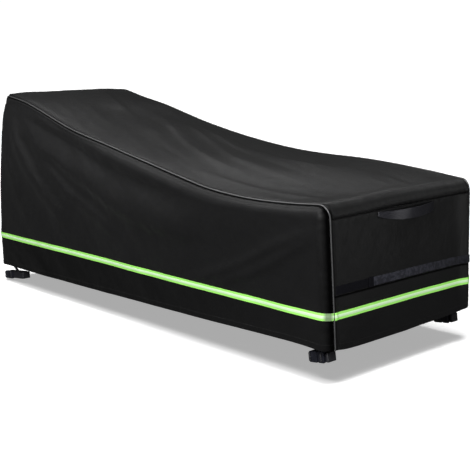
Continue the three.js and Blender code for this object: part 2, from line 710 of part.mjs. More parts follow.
// A side-release buckle, closed, with its middle at x = 0 and its socket towards -X.
function buckleSocket() {
  const { height, thickness } = BUCKLE;
  const inside = thickness - 2 * SOCKET.skin;
  const opening = height - 2 * SOCKET.wall;
  const through = 2 * thickness;
  return geometryFrom(
    bar(SOCKET.x0, SOCKET.x1, height, thickness, SOCKET.chamfer)
      .subtract(bar(SOCKET.mouth, SOCKET.x1 + 1, opening, inside, 0.5))
      .subtract(bar(...SOCKET.window, 2 * height, inside, 0.5))
      .subtract(bar(...SOCKET.slot, opening, through, GAP)),
  );
}

function bucklePlug() {
  const { height, thickness } = BUCKLE;
  const thin = thickness - 2 * SOCKET.skin - 2;
  const headThick = thickness - 2 * PLUG.thinner;
  let plug = bar(PLUG.x0, PLUG.x1, height, headThick, SOCKET.chamfer);
  plug = plug.add(bar(PLUG.guideTip, PLUG.root, 6, thin, 1));
  const { prong, barb } = PLUG;
  for (const side of [-1, 1]) {
    plug = plug.add(bar(prong.tip, PLUG.root, prong.height, thin, 1, side * prong.z));
    plug = plug.add(bar(prong.tip, barb.root, prong.height, thin, 1, side * barb.z));
  }
  const opening = height - 2 * SOCKET.wall;
  for (const slot of PLUG.slots) plug = plug.subtract(bar(...slot, opening, 2 * thickness, GAP));
  return geometryFrom(plug);
}

// The inner face of a side panel at x and height z, measured from the centre line.
function insideOf(side, x, z) {
  const end = x < 0 ? ENDS.head : ENDS.foot;
  const level = levelAt(x, z, side);
  const past = Math.max(0, Math.abs(x) - Math.abs(x < 0 ? CORE_X.head : CORE_X.foot) * level.scale);
  const round = Math.sqrt(Math.max(0, 1 - (past / end.reach) ** 2));
  return level.half - level.ry + level.ry * round - CLOTH - 4 * GAP;
}

// The tab that hangs a strap from the inside of the side panel: down the panel, in to the loop and behind it.
function strapTab(strap, { side, tab, behind }) {
  const { above, clear, width, thickness } = STRAP_TAB;
  const z = strap.z + (tab - (strap.x0 + strap.x1) / 2) * Math.tan(THREE.MathUtils.degToRad(strap.tilt));
  const loopY = (side < 0 ? -strap.y : strap.y + WEBBING.depth) - behind;
  const hem = rowAt(HEM, "z", tab);
  const onPanel = [hem + above, hem + clear];
  const behindLoop = [z + WEBBING.height / 2 + clear, z - WEBBING.height / 2 + clear];
  const along = [-0.5, -0.17, 0.17, 0.5].map((share) => tab + share * width);
  const grid = [
    ...onPanel.map((h) => along.map((x) => new THREE.Vector3(x, side * insideOf(side, x, h), h))),
    ...behindLoop.map((h) => along.map((x) => new THREE.Vector3(x, side * loopY, h))),
  ];
  return sheet(grid, thickness, { flip: side > 0 });
}

for (const strap of STRAPS) {
  const { name, x0, x1, y, z, tilt } = strap;
  const fitting = STRAP_FITTINGS[name];
  const loop = new THREE.Group();
  loop.position.set((x0 + x1) / 2, y + WEBBING.depth / 2, z);
  loop.rotation.y = -THREE.MathUtils.degToRad(tilt);
  cover.add(loop);
  const buckleX = fitting.buckle - loop.position.x;
  const buckleY = -WEBBING.depth / 2;
  add("strap_" + name, strapWebbing(x1 - x0, buckleX), WEBBING_BLACK, loop);
  add("buckle_socket_" + name, buckleSocket(), BUCKLE_BLACK, loop).position.set(buckleX, buckleY, 0);
  add("buckle_plug_" + name, bucklePlug(), BUCKLE_BLACK, loop).position.set(buckleX, buckleY, 0);
  add("strap_tab_" + name, strapTab(strap, fitting), WEBBING_BLACK);
}

// ---------- origin ----------
// Under the top panel, on the centre line, at the middle of the seat.
const SEAT_X = 560;
const SEAT_UNDERSIDE = 496.3;
cover.position.set(-SEAT_X, 0, -SEAT_UNDERSIDE);

export default cover;
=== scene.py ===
"""The outdoor chaise lounge cover in Blender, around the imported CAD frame.

Shapes are worked out in the CAD drawing's millimetres (z = 0 near the hem, x = 0 at half length, -Y near) and
moved to the frame's origin, in metres, when a mesh is made.
"""
import math

import bmesh
import bpy
import numpy as np
from mathutils import Matrix, Vector


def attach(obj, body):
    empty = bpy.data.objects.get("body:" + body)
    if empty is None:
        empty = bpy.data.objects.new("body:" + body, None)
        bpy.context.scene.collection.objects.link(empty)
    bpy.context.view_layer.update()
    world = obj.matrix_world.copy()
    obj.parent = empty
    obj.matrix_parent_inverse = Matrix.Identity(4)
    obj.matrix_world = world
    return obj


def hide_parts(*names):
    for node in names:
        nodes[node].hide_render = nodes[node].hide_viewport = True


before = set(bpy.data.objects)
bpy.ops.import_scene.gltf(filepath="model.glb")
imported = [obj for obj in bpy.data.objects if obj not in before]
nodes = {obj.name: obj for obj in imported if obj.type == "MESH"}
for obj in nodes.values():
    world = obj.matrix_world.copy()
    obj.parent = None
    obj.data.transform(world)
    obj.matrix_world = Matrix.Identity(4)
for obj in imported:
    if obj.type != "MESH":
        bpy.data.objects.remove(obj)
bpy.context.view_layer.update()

ORIGIN = np.array([560.0, 0.0, 496.3])  # the frame's origin in the drawing, mm
BODY = "root"

# ---------- camera ----------
CAMERA_AT = (2.3553, -2.4565, 0.3984)
YAW, PITCH, ROLL = math.radians(48.0), math.radians(10.5), math.radians(-0.7)
LENS = 71.06  # mm on a 36 mm sensor


def add_object(name, data):
    obj = bpy.data.objects.new(name, data)
    bpy.context.scene.collection.objects.link(obj)
    return obj


def add_camera():
    level = math.cos(PITCH)
    forward = Vector((-math.sin(YAW) * level, math.cos(YAW) * level, -math.sin(PITCH)))
    right = forward.cross(Vector((0, 0, 1))).normalized()
    up = right.cross(forward)
    turned = right * math.cos(ROLL) + up * math.sin(ROLL)
    above = up * math.cos(ROLL) - right * math.sin(ROLL)
    data = bpy.data.cameras.new("camera")
    data.lens = LENS
    data.sensor_width = 36
    camera = add_object("camera", data)
    axes = Matrix((turned, above, -forward)).transposed().to_4x4()
    camera.matrix_world = Matrix.Translation(CAMERA_AT) @ axes
    bpy.context.scene.camera = camera


add_camera()

# ---------- sizes repeated from the CAD drawing, mm ----------
LENGTH = 2100
CORE = {"head": -1006, "foot": 1010}
REACH = {"head": 44, "foot": 40}
SIDE_RADIUS = {"head": 34, "foot": 44}
INSET = {"head": 6, "foot": 17}
SHOULDER_SEAM = {"head": math.radians(45), "seat": math.radians(65), "x0": -560, "x1": -120}
CORNER_SEAM = math.radians(74)
UP = math.pi / 2
CORNER_HEM_RISE = 1.5
END_HEM_SAG = 7.5
FAR_HEM_RISE = 9
END_BOW = 3
BOW_FADE = 120
VENT_SEAM, VENT_GAP = 178, 0.6
VENT_SHADE = {"below": 3.5, "half": 3.2}  # the painted shadow line under the vent strip
TAPE_LOW, TAPE_HIGH = 102, 126


def table(columns, rows):
    """Named columns of a table of numbers."""
    return dict(zip(columns.split(), np.array(rows, float).T))


TOP_LINE = {"head": 773, "foot": 474, "power": 1.84, "swell": 11, "swell_at": -720, "swell_spread": 220}
SHOULDER = {"head": 342, "widest": 424, "widest_at": 440, "foot": 401}  # half widths
TOP = table("x ry rz tilt belly", [
    (-1006, 23, 40, 2, 2.3),
    (-850, 17, 20, -3, 2.4),
    (-680, 17, 16, 0, 2.2),
    (-510, 18, 18, -1, 2),
    (-340, 26, 28, -3, 1.7),
    (-170, 36, 40, -5, 1.4),
    (0, 43, 48, -4, 1.2),
    (170, 46, 52, 0, 1.2),
    (340, 46, 52, 10, 1.2),
    (510, 44, 48, 22, 1.2),
    (680, 41, 42, 24, 1.2),
    (850, 42, 40, 18, 1.2),
    (1010, 45, 48, 7, 1.2),
])
CROWN = table("x rise", [(-1006, 0), (-600, -16), (-100, -14), (400, 2), (850, 9), (1010, 4)])
HEM = table("x z half", [
    (-1050, -28, 395), (-600, -25, 393), (-166, -19, 390), (440, -7, 390), (900, 5, 390), (1050, 2, 391),
])


# ---------- curves and noise ----------
def lerp(a, b, t):
    return a + (b - a) * t


def smooth(t):
    t = np.clip(t, 0, 1)
    return t * t * (3 - 2 * t)


def fade_over(distance, width):
    return smooth(distance / width)


def curve(xs, vs, at):
    """The value at `at` on a cubic through the points (xs, vs)."""
    last = len(xs) - 1
    at = np.clip(at, xs[0], xs[last])
    i = np.clip(np.searchsorted(xs, at, side="left") - 1, 0, last - 1)
    before = np.maximum(np.arange(last + 1) - 1, 0)
    after = np.minimum(np.arange(last + 1) + 1, last)
    slope = (vs[after] - vs[before]) / (xs[after] - xs[before])
    span = xs[i + 1] - xs[i]
    t = (at - xs[i]) / span
    eased = lerp(vs[i], vs[i + 1], smooth(t))
    return eased + span * t * (1 - t) * ((1 - t) * slope[i] - t * slope[i + 1])


def row_at(rows, column, x):
    return curve(rows["x"], rows[column], x)


def noise(u, v, size_u, size_v, seed):
    """Smooth noise from -1 to 1 on a lattice of cells size_u by size_v."""
    cells = 97
    lattice = np.random.default_rng(seed).uniform(-1, 1, (cells, cells))
    a, b = u / size_u + 40.3, v / size_v + 40.7
    i, j = np.floor(a).astype(int), np.floor(b).astype(int)
    p, q = smooth(a - i), smooth(b - j)
    low = lerp(lattice[i % cells, j % cells], lattice[(i + 1) % cells, j % cells], p)
    high = lerp(lattice[i % cells, (j + 1) % cells], lattice[(i + 1) % cells, (j + 1) % cells], p)
    return lerp(low, high, q)


def fold_sum(folds, a, b):
    """Heights of folds at points (a, b). A fold follows a smooth line of points, sorted by a. It stands
    `rise` at the line and falls away over `up` on the side of larger b and over `down` on the other."""
    total = np.zeros(np.broadcast(a, b).shape)
    for rise, up, down, line in folds:
        xs, ys = np.array(line, float).T
        middle = curve(xs, ys, a)
        slope = curve(xs, ys, a + 2) - curve(xs, ys, a - 2)
        off = (b - middle) / np.sqrt(1 + (slope / 4) ** 2)
        width = np.where(off > 0, up, down)
        t = (a - xs[0]) / (xs[-1] - xs[0])
        ends = smooth(t / 0.25) * smooth((1 - t) / 0.25)
        total = total + rise * ends * np.exp(-((off / width) ** 2))
    return total


# ---------- the cover's shape ----------
def hem_at(x, across):
    return row_at(HEM, "z", x) + FAR_HEM_RISE * np.maximum(across, 0)


def top_line(x):
    """Height of the top: a power of the distance from the foot, with a swell behind the head's edge."""
    line = TOP_LINE
    from_foot = np.clip((CORE["foot"] - x) / (CORE["foot"] - CORE["head"]), 0, 1)
    swell = line["swell"] * np.exp(-(((x - line["swell_at"]) / line["swell_spread"]) ** 2))
    return line["foot"] + (line["head"] - line["foot"]) * from_foot ** line["power"] + swell


def half_width(x):
    """Half width at the shoulder: it eases out from the head's to the widest, then falls to the foot's."""
    widest, at = SHOULDER["widest"], SHOULDER["widest_at"]
    before = np.clip((at - x) / (at - CORE["head"]), 0, 1)
    after = np.clip((x - at) / (CORE["foot"] - at), 0, 1)
    narrower = (widest - SHOULDER["head"]) * np.sin(before * UP) ** 2
    return widest - narrower - (widest - SHOULDER["foot"]) * after**2


def core_top(x, across):
    return top_line(x) + row_at(TOP, "tilt", x) * across - row_at(TOP, "rz", x)


def by_end(x, sizes):
    return np.where(x < 0, sizes["head"], sizes["foot"])


def level_at(x, z, across):
    """Half width, radius across and scale along x of the cover at height z over station x."""
    t = np.clip(z / core_top(x, across), 0, 1)
    half = lerp(row_at(HEM, "half", x), half_width(x), t ** row_at(TOP, "belly", x))
    ry = lerp(by_end(x, SIDE_RADIUS), row_at(TOP, "ry", x), t)
    return half, ry, 1 - by_end(x, INSET) * t / (LENGTH / 2 - by_end(x, REACH))


def seam_angle(over_share, x):
    seam = SHOULDER_SEAM
    shoulder = lerp(seam["head"], seam["seat"], smooth((x - seam["x0"]) / (seam["x1"] - seam["x0"])))
    return lerp(CORNER_SEAM, shoulder, over_share)


def seam_turn(size, ry, r, over_share, x):
    """The angle that a length of cloth takes up at the seam of an edge."""
    angle = seam_angle(over_share, x)
    return size / np.hypot(r * np.cos(angle), ry * np.sin(angle))


def points(*axes):
    return np.stack(np.broadcast_arrays(*axes), -1)


# Folds of a side panel over (x, z): rise, up, down, line.
SIDE_FOLDS = [
    # the hollow under the shoulder
    (-11, 24, 60, [(-930, 690), (-800, 655), (-600, 606), (-400, 560), (-200, 512), (0, 474), (200, 445),
        (400, 418), (560, 398)]),
    # the long fold below it, from the head corner to the seat
    (16, 100, 36, [(-960, 672), (-800, 600), (-650, 546), (-530, 512), (-400, 462), (-300, 432),
        (-200, 400), (-100, 362), (0, 338), (150, 318), (330, 306), (600, 300)]),
    # folds that fan out from the head corner
    (10, 40, 46, [(-1010, 680), (-930, 612), (-870, 550), (-800, 478), (-720, 408), (-640, 352),
        (-520, 284), (-400, 226)]),
    (8, 34, 34, [(-760, 520), (-620, 462), (-520, 412), (-440, 368), (-340, 333), (-250, 303),
        (-150, 268), (-10, 225)]),
    (3, 30, 36, [(-1030, 600), (-970, 480), (-900, 380), (-820, 280), (-740, 200)]),
    # folds that run down from the near foot corner
    (5, 22, 18, [(300, 112), (440, 150), (550, 188), (650, 230), (740, 272), (800, 304), (900, 348),
        (1060, 410)]),
    (5, 26, 20, [(400, 96), (520, 136), (600, 168), (700, 206), (800, 252), (900, 312), (1060, 394)]),
]

# Folds of the top panel over (x, y), likewise: up is the far side.
TOP_FOLDS = [
    # two long folds that run across from the far side of the back rest to the near side of the foot
    (6, 60, 24, [(-640, 190), (-400, 128), (-300, 80), (-200, 25), (-100, -22), (0, -66), (150, -126),
        (300, -172), (500, -206), (760, -250)]),
    (5.5, 56, 24, [(-420, 220), (-200, 146), (-100, 100), (0, 54), (150, -16), (300, -82), (450, -116),
        (600, -140), (860, -176)]),
    (4, 40, 20, [(-320, 240), (-200, 206), (-50, 150), (50, 110), (130, 78), (300, 34)]),
    # a crease along the far side of the seat
    (4, 24, 60, [(-260, 262), (0, 160), (150, 112), (350, 70), (500, 66), (740, 90)]),
    # the seat stands up along its middle and falls away towards the far side
    (10, 190, 260, [(-700, 80), (-300, 90), (0, 70), (400, 10), (1000, 0)]),
    # a crease from the far corner of the head
    (3, 26, 60, [(-1040, 198), (-950, 172), (-850, 130), (-740, 90), (-600, 50)]),
    # a soft fold along the near edge of the seat
    (2.5, 22, 20, [(260, -296), (500, -300), (750, -300), (1040, -296)]),
]
CROWN_MORE = table("x rise", [(-1006, 0), (-850, 8), (-600, 16), (-300, 20), (0, 13), (600, 9), (1010, 0)])
END_FOLDS = [(10, 16, 40, [(-120, 356), (200, 354), (560, 348)])]  # of an end panel over (z, y)

# Wrinkles: height, length along a and b, seed, and how steeply they slant.
SIDE_WRINKLES = [(2.2, 260, 90, 3, 0.62), (0.8, 90, 34, 5, 0.62), (0.3, 24, 18, 8, 0)]
TOP_WRINKLES = [(1.2, 420, 80, 21, 0.3), (0.6, 190, 34, 22, 0.3), (0.3, 26, 20, 23, 0)]
END_WRINKLES = [(1.6, 120, 300, 0, 0), (0.5, 50, 70, 1, 0), (0.25, 22, 20, 2, 0)]
END_SEED = {"foot": 31, "head": 41}
CALM = {"side": 46, "top": 50, "end": 30}  # how far from a seam folds and wrinkles reach their full height
FAR_SHIFT = 60  # how much further back the far side's folds lie
LOW_FOLDS, LOW_Z, LOW_FADE = 0.12, 70, 130  # the share of the folds left below a height, and its fade
CROWN_HALF = 430  # half the width that CROWN_MORE is spread over
SKIRT_LEAN, SKIRT_FADE = 1, 125  # how far the cloth below the tape leans in, and over what height
TOP_CORNER, CORNER_PULL = (-1050, 342, 774), (0.72, -0.42, -0.55)  # the head's top corner, and its way in
CORNER_DRAW, CORNER_SPREAD = 17, 46  # how far it draws in, and over what distance
HEM_STITCH, SEAM_STITCH = 20, 6  # how far the rows of stitches are from the hem and from a cross seam
HEM_REACH = 30  # how far above its row of stitches an end's hem counts
CORNER_SHADE = 26  # how far the painted shade beside the piping of a vertical corner reaches
CROSS_WELT = 0.45  # the share of a corded seam's welt at a cross seam, which has no cord


def wrinkled(height, a, b, wrinkles, more_seed=0):
    for rise, size_a, size_b, seed, slant in wrinkles:
        height = height + rise * noise(a - slant * b, b + slant * a, size_a, size_b, seed + more_seed)
    return height


def side_height(side, x, z, to_seam):
    """How far a side panel stands off its plain shape at (x, z)."""
    shift = FAR_SHIFT if side > 0 else 0
    folds = fold_sum(SIDE_FOLDS, x + shift, z)
    folds = folds * (LOW_FOLDS + (1 - LOW_FOLDS) * fade_over(z - LOW_Z, LOW_FADE))
    h = wrinkled(folds, x + shift, z, SIDE_WRINKLES, shift)
    return (h - SKIRT_LEAN * fade_over(TAPE_LOW - z, SKIRT_FADE)) * fade_over(to_seam, CALM["side"])


def top_height(x, y, to_seam):
    crown = row_at(CROWN_MORE, "rise", x) * np.cos(UP * np.clip(y / CROWN_HALF, -1, 1)) ** 2
    return wrinkled(fold_sum(TOP_FOLDS, x, y) + crown, x, y, TOP_WRINKLES) * fade_over(to_seam, CALM["top"])


def end_height(end, y, z, to_seam):
    h = wrinkled(0, y, z, END_WRINKLES, END_SEED[end])
    return (h + fold_sum(END_FOLDS, z, y)) * fade_over(to_seam, CALM["end"])


def relaxed(place):
    """Points near the two top corners of the head, where the cloth draws in and rounds off."""
    for side in (-1, 1):
        across = np.array([1, side, 1])
        away = np.sum((place - TOP_CORNER * across) ** 2, -1, keepdims=True)
        place = place + np.exp(-away / (2 * CORNER_SPREAD**2)) * CORNER_DRAW * (CORNER_PULL * across)
    return place


def welt(away):
    """How the cloth lies beside a corded seam: a narrow groove, then the edge of the allowance beneath it."""
    allowance, groove = np.exp(-(((away - 12) / 3.6) ** 2)), np.exp(-((away / 5) ** 2))
    return 1.3 * allowance - 1.8 * groove


def pucker(along, across, seed, height=0.7, width=14, wave=34):
    """Ripples that a row of stitches draws into the cloth beside it."""
    phase = 2.2 * noise(along, 0 * along, 3 * wave, 1, seed)
    return height * np.sin(2 * np.pi * along / wave + phase) * np.exp(-np.abs(across) / width)


def side_points(side, x, face, turned, over, trim, depth, height=None):
    """Points on the outer face of a side panel, with their `seam` and `stitch` values. x lies on the core,
    `face` goes from the hem (0) to the core's top (1), `turned` (signed) goes round a vertical corner and
    `over` over the shoulder, as shares of the seam's angle. The panel ends `trim` before the seam, and lies
    `depth` inside its face."""
    hem = hem_at(x, side) + CORNER_HEM_RISE * np.abs(turned)
    top = core_top(x, side)
    z = lerp(hem, top, face) if height is None else height
    half, ry, scale = level_at(x, z, side)
    rz = row_at(TOP, "rz", x)
    reach = by_end(x, REACH)
    length = np.hypot(turned, over)
    length = np.where(length > 0, length, 1)
    round_share, over_share = turned / length, over / length
    cut = seam_turn(trim, ry, lerp(reach, rz, over_share**2), over_share**2, x)
    turn = np.maximum(np.abs(turned), over) * (seam_angle(over_share**2, x) - cut)
    out = points(np.sin(turn) * round_share, side * np.cos(turn), np.sin(turn) * over_share)
    base = points(x * scale, side * (half - ry), z) + out * points(reach, ry, rz)
    to_shoulder = np.maximum(top - z, 0) + (1 - over) * seam_angle(1, x) * np.hypot(ry, rz) / 1.41
    core_end = by_end(x, CORE)
    to_corner = np.abs(core_end - x) + (1 - np.abs(turned)) * CORNER_SEAM * reach
    h = side_height(side, base[..., 0], base[..., 2], np.minimum(to_shoulder, to_corner))
    h = h + pucker(x, to_shoulder, 51) + pucker(z, to_corner, 52)
    h = h + pucker(x, z - hem - HEM_STITCH, 53, height=0.2, width=10, wave=28)
    h = h + welt(np.minimum(to_shoulder, to_corner))
    # painted shade beside the shoulder's piping and down the vertical corners
    seam = np.maximum(np.exp(-((to_shoulder / 7) ** 4)), np.exp(-((to_corner / CORNER_SHADE) ** 2)))
    return relaxed(base + out * (h - depth)[..., None]), seam, z - hem - HEM_STITCH


def edge_terms(side, x, z, lift, turn):
    half, ry, scale = level_at(x, z, side)
    rz = row_at(TOP, "rz", x)
    sign = np.sign(x)
    out = points(sign * np.cos(lift) * np.sin(turn), side * np.cos(turn), np.sin(lift) * np.sin(turn))
    base = points(x * scale, side * (half - ry), z) + out * points(by_end(x, REACH), ry, rz)
    return base, out


def cross_points(x, lift, columns, z=None, depth=0.0, end=None):
    """Points of the top panel (z None) or of an end panel, with their `seam` and `stitch` values, at stations
    (x, lift) down the rows and at `columns` across: side, flat, turn, trim and depth."""
    side, flat, turned, trim, sunk = (c[None, :] for c in columns)
    x, lift, depth = (np.asarray(v, float).reshape(-1, 1) for v in (x, lift, depth))
    across = np.where(side != 0, side, flat)
    top = core_top(x, across)
    is_top = z is None
    z = top if is_top else z(across)
    half, ry, scale = level_at(x, z, across)
    rz = row_at(TOP, "rz", x)
    reach = by_end(x, REACH)
    over_share = np.sin(lift) ** 2
    gap = seam_turn(trim, ry, lerp(reach, rz, over_share), over_share, x)
    turn = lerp(seam_angle(over_share, x) + gap, UP, turned)
    edge, edge_out = edge_terms(side, x, z, lift, turn)
    y = flat * (half - ry)
    bow = np.cos(UP * flat) ** 2
    if is_top:
        stands = row_at(CROWN, "rise", x) * np.sin(lift) * bow
        stands = stands - END_BOW * bow * np.cos(lift)
    else:
        stands = -END_BOW * bow * fade_over(top - z, BOW_FADE)
    sign = np.sign(x)
    out = points(sign * np.cos(lift), 0 * y, np.sin(lift))
    plain = points(x * scale, y, z) + points(reach + stands, 0 * y, rz + stands) * out
    at_edge = (side != 0)[..., None]
    base = np.where(at_edge, edge, plain)
    out = np.where(at_edge, edge_out, out)
    to_side = (half - np.abs(y)) * (side == 0) + ry * (UP - seam_angle(over_share, x)) * turned * (side != 0)
    if is_top:
        to_end = np.abs(by_end(x, CORE) - x) + by_end(x, REACH) * lift
        h = top_height(x, base[..., 1], np.minimum(to_side, to_end))
        h = h + pucker(x, to_side, 54) + pucker(base[..., 1], to_end, 55)
    else:
        to_end = top - z
        h = end_height(end, base[..., 1], base[..., 2], np.minimum(to_side, 60 + to_end))
        h = h + pucker(z, to_side, 56) + pucker(base[..., 1], to_end, 57)
    h = h + welt(to_side) + CROSS_WELT * welt(to_end)
    # painted shade beside the seams
    seam = np.maximum(0.8 * np.exp(-((to_side / 4) ** 2)), 0.6 * np.exp(-((to_end / 2.6) ** 2)))
    stitch = to_end - SEAM_STITCH + 0 * z
    if not is_top:
        over_hem = z - end_hem(CORE[end])(across) - HEM_STITCH
        stitch = np.where(over_hem < HEM_REACH, over_hem, stitch)
        if end == "foot":
            # the painted shadow line under the vent strip
            above_line = z - VENT_SEAM + VENT_SHADE["below"]
            seam = np.maximum(seam, np.exp(-((above_line / VENT_SHADE["half"]) ** 4)))
    return relaxed(base + out * (h - depth - sunk)[..., None]), seam, stitch + 0 * seam


# ---------- meshes ----------
def unit(vectors):
    return vectors / np.maximum(np.linalg.norm(vectors, axis=-1, keepdims=True), 1e-9)


def along_rows(grid, loop=False):
    if loop:
        return np.roll(grid, -1, 0) - np.roll(grid, 1, 0)
    return np.gradient(grid, axis=0)


def shell(grid, thickness, flip=False, stand=0.0, loop=False):
    """Vertices and quads of a closed sheet whose outer face is a grid of points, moved off it by `stand`."""
    rows, columns = grid.shape[:2]
    sign = -1 if flip else 1
    normals = unit(np.cross(along_rows(grid, loop), np.gradient(grid, axis=1))) * sign
    stand = np.asarray(stand, float)
    stand = stand[..., None] if stand.ndim else stand
    outer = grid + normals * stand
    inner = outer - normals * thickness
    index = np.arange(rows * columns).reshape(rows, columns)
    if loop:
        index = np.vstack([index, index[:1]])
    a, b, c, d = index[:-1, :-1], index[1:, :-1], index[1:, 1:], index[:-1, 1:]
    below = rows * columns
    front = np.stack([a, b, c, d], -1).reshape(-1, 4)
    back = np.stack([a, d, c, b], -1).reshape(-1, 4) + below

    def rim(line):
        first, second = line[:-1], line[1:]
        return np.stack([first, second, second + below, first + below], -1)

    sides = [rim(index[::-1, 0]), rim(index[:, -1])]
    if not loop:
        sides += [rim(index[0]), rim(index[-1][::-1])]
    quads = np.vstack([front, back, *sides])
    if flip:
        quads = quads[:, ::-1]
    return np.vstack([outer.reshape(-1, 3), inner.reshape(-1, 3)]), quads


def stand_for(node, obj):
    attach(obj, BODY)
    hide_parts(node)
    return obj


def add_piece(name, parts, node, seam=None, stitch=None):
    """One object from parts (points in the drawing's mm, faces, material), which stands for a CAD node. For
    each point of a sheet's grid, `seam` says from 0 to 1 how much painted shade lies there (beside the seams,
    down the vertical corners and under the vent strip), and `stitch` how far a row of stitches is."""
    vertices, faces, picks, materials, start = [], [], [], [], 0
    for part, quads, material in parts:
        if material not in materials:
            materials.append(material)
        vertices.append((part - ORIGIN) / 1000)
        faces += (quads + start).tolist()
        picks += [materials.index(material)] * len(quads)
        start += len(part)
    mesh = bpy.data.meshes.new(name)
    mesh.from_pydata(np.vstack(vertices).tolist(), [], faces)
    for material in materials:
        mesh.materials.append(material)
    mesh.polygons.foreach_set("material_index", picks)
    for key, values in (("seam", seam), ("stitch", stitch)):
        if values is not None:
            attribute = mesh.attributes.new(key, "FLOAT", "POINT")
            attribute.data.foreach_set("value", np.tile(np.ravel(values), 2))
    mesh.shade_smooth()
    mesh.update()
    return stand_for(node, add_object(name, mesh))


def add_sheet(name, node, slot, material, grid, thickness, seam=None, stitch=None, **laid):
    """A piece of one sheet, whose outer face is a grid of points."""
    return add_piece(name, [(*shell(grid, thickness, **laid), material)], node, seam, stitch)


# ---------- materials ----------
class Tree:
    """Nodes of a material or the world. An input is a value or another node's output."""

    def __init__(self, owner):
        owner.use_nodes = True
        self.owner = owner
        self.nodes = owner.node_tree.nodes
        self.links = owner.node_tree.links

    def put(self, node, inputs):
        for key, value in inputs.items():
            socket = node.inputs[key]
            if isinstance(value, bpy.types.NodeSocket):
                self.links.new(value, socket)
            else:
                socket.default_value = value

    def add(self, kind, inputs=None, out=0, **settings):
        node = self.nodes.new("ShaderNode" + kind)
        for key, value in settings.items():
            setattr(node, key, value)
        self.put(node, inputs or {})
        return node.outputs[out]

    def math(self, operation, a, b=0.0):
        return self.add("Math", {0: a, 1: b}, operation=operation)

    def place(self):
        return self.add("TexCoord", out="Object")

    def axis(self, name, place=None):
        return self.add("SeparateXYZ", {0: place or self.place()}, out=name)

    def noise(self, scale, detail=2.0, stretch=(1, 1, 1)):
        mapped = self.add("Mapping", {"Vector": self.place(), "Scale": stretch})
        return self.add("TexNoise", {"Vector": mapped, "Scale": scale, "Detail": detail})

    def between(self, factor, low, high, to_low=0.0, to_high=1.0):
        inputs = {"Value": factor, "From Min": low, "From Max": high, "To Min": to_low, "To Max": to_high}
        return self.add("MapRange", inputs)

    def mix(self, factor, a, b):
        return self.add("Mix", {0: factor, 6: a, 7: b}, out=2, data_type="RGBA")

    def wave(self, along, pitch):
        return self.math("SINE", self.math("MULTIPLY", along, 2 * math.pi / pitch))

    def threads(self, across, along, pitch):
        """Woven threads: two waves that pass over and under each other."""
        return self.math("MULTIPLY", self.wave(across, pitch), self.wave(along, pitch))

    def finish(self, colour, rough, specular, bumps=(), **more):
        """Set the shader. bumps are (height, distance, strength), each on top of the one before."""
        inputs = {"Base Color": colour, "Roughness": rough, "Specular IOR Level": specular}
        inputs.update({key.replace("_", " "): value for key, value in more.items()})
        below = {}
        for height, distance, strength in bumps:
            bump = self.add("Bump", {"Height": height, "Distance": distance, "Strength": strength, **below})
            below = {"Normal": bump}
        self.put(self.nodes["Principled BSDF"], {**inputs, **below})
        return self.owner


def paint(name):
    """The tree of a new material."""
    return Tree(bpy.data.materials.new(name))


def grey(value, blue=1.0):
    return (value, value, value * blue, 1)


STITCH_LENGTH, WEAVE_PITCH, RIB_PITCH = 0.0042, 0.0011, 0.0022  # metres, as all of a material's lengths are
TAPE_Z = ((TAPE_LOW + TAPE_HIGH) / 2 - ORIGIN[2]) / 1000
TAPE_CORNER = (1.036, 0.378)  # where the tape goes over the piping and has painted shade, along and across from the cover's middle


def cloth(name, across, along, run):
    """Coated black polyester in a plain weave with slubs and faint dust, and rows of stitches that run along
    the axis `run`. Painted shade turns it black beside the seams, down the vertical corners, under the vent
    strip and below the tape."""
    t = paint(name)
    # how strong the painted shade below the tape is, strongest towards the head
    skirt_shade = t.between(t.axis("X"), -1.2, 0.5, 0.42, 0.06)
    weave = t.threads(t.axis(across), t.axis(along), WEAVE_PITCH)
    slubs = t.noise(420, 2, (1, 1, 0.35))
    broad = t.noise(7, 3)
    fine = t.noise(60, 3)
    colour = t.mix(broad, grey(0.0085, 1.04), grey(0.0135, 1.03))
    colour = t.mix(t.between(slubs, 0.35, 0.75, 0, 0.3), colour, grey(0.022, 1.02))
    # painted shade beside the seams, down the vertical corners and under the vent strip
    seam = t.add("Attribute", out="Fac", attribute_name="seam")
    # painted shade on the cloth below the tape
    below = t.between(t.axis("Z"), TAPE_Z - 0.012, TAPE_Z - 0.010, skirt_shade, 0)
    # all the painted shade turns the colour black, and through Metallic on that black base takes most
    # reflection away
    painted_shade = t.math("MAXIMUM", seam, below)
    colour = t.mix(painted_shade, colour, grey(0.0))
    off_row = t.math("ABSOLUTE", t.add("Attribute", out="Fac", attribute_name="stitch"))
    pace = t.wave(t.axis(run), STITCH_LENGTH)
    stitches = t.math("MULTIPLY", t.between(off_row, 0.35, 0.8, 1, 0), t.between(pace, -0.5, -0.2))
    colour = t.mix(stitches, colour, grey(0.032))
    rough = t.between(fine, 0.3, 0.7, 0.3, 0.36)
    rough = t.math("ADD", rough, t.math("MULTIPLY", seam, 0.3))
    bumps = [(fine, 0.0009, 0.35), (stitches, 0.0006, 0.8), (slubs, 0.0002, 0.5), (weave, 0.00008, 0.6)]
    return t.finish(colour, rough, 0.25, bumps, Metallic=painted_shade, Sheen_Weight=0.05, Sheen_Roughness=0.4)


def piping_material():
    t = paint("piping_satin")
    twist = t.noise(900, 2)
    broad = t.noise(30, 2)
    colour = t.mix(broad, grey(0.09, 1.02), grey(0.12, 1.02))
    rough = t.between(twist, 0.3, 0.7, 0.3, 0.38)
    return t.finish(colour, rough, 0.9, [(twist, 0.0001, 0.4)])


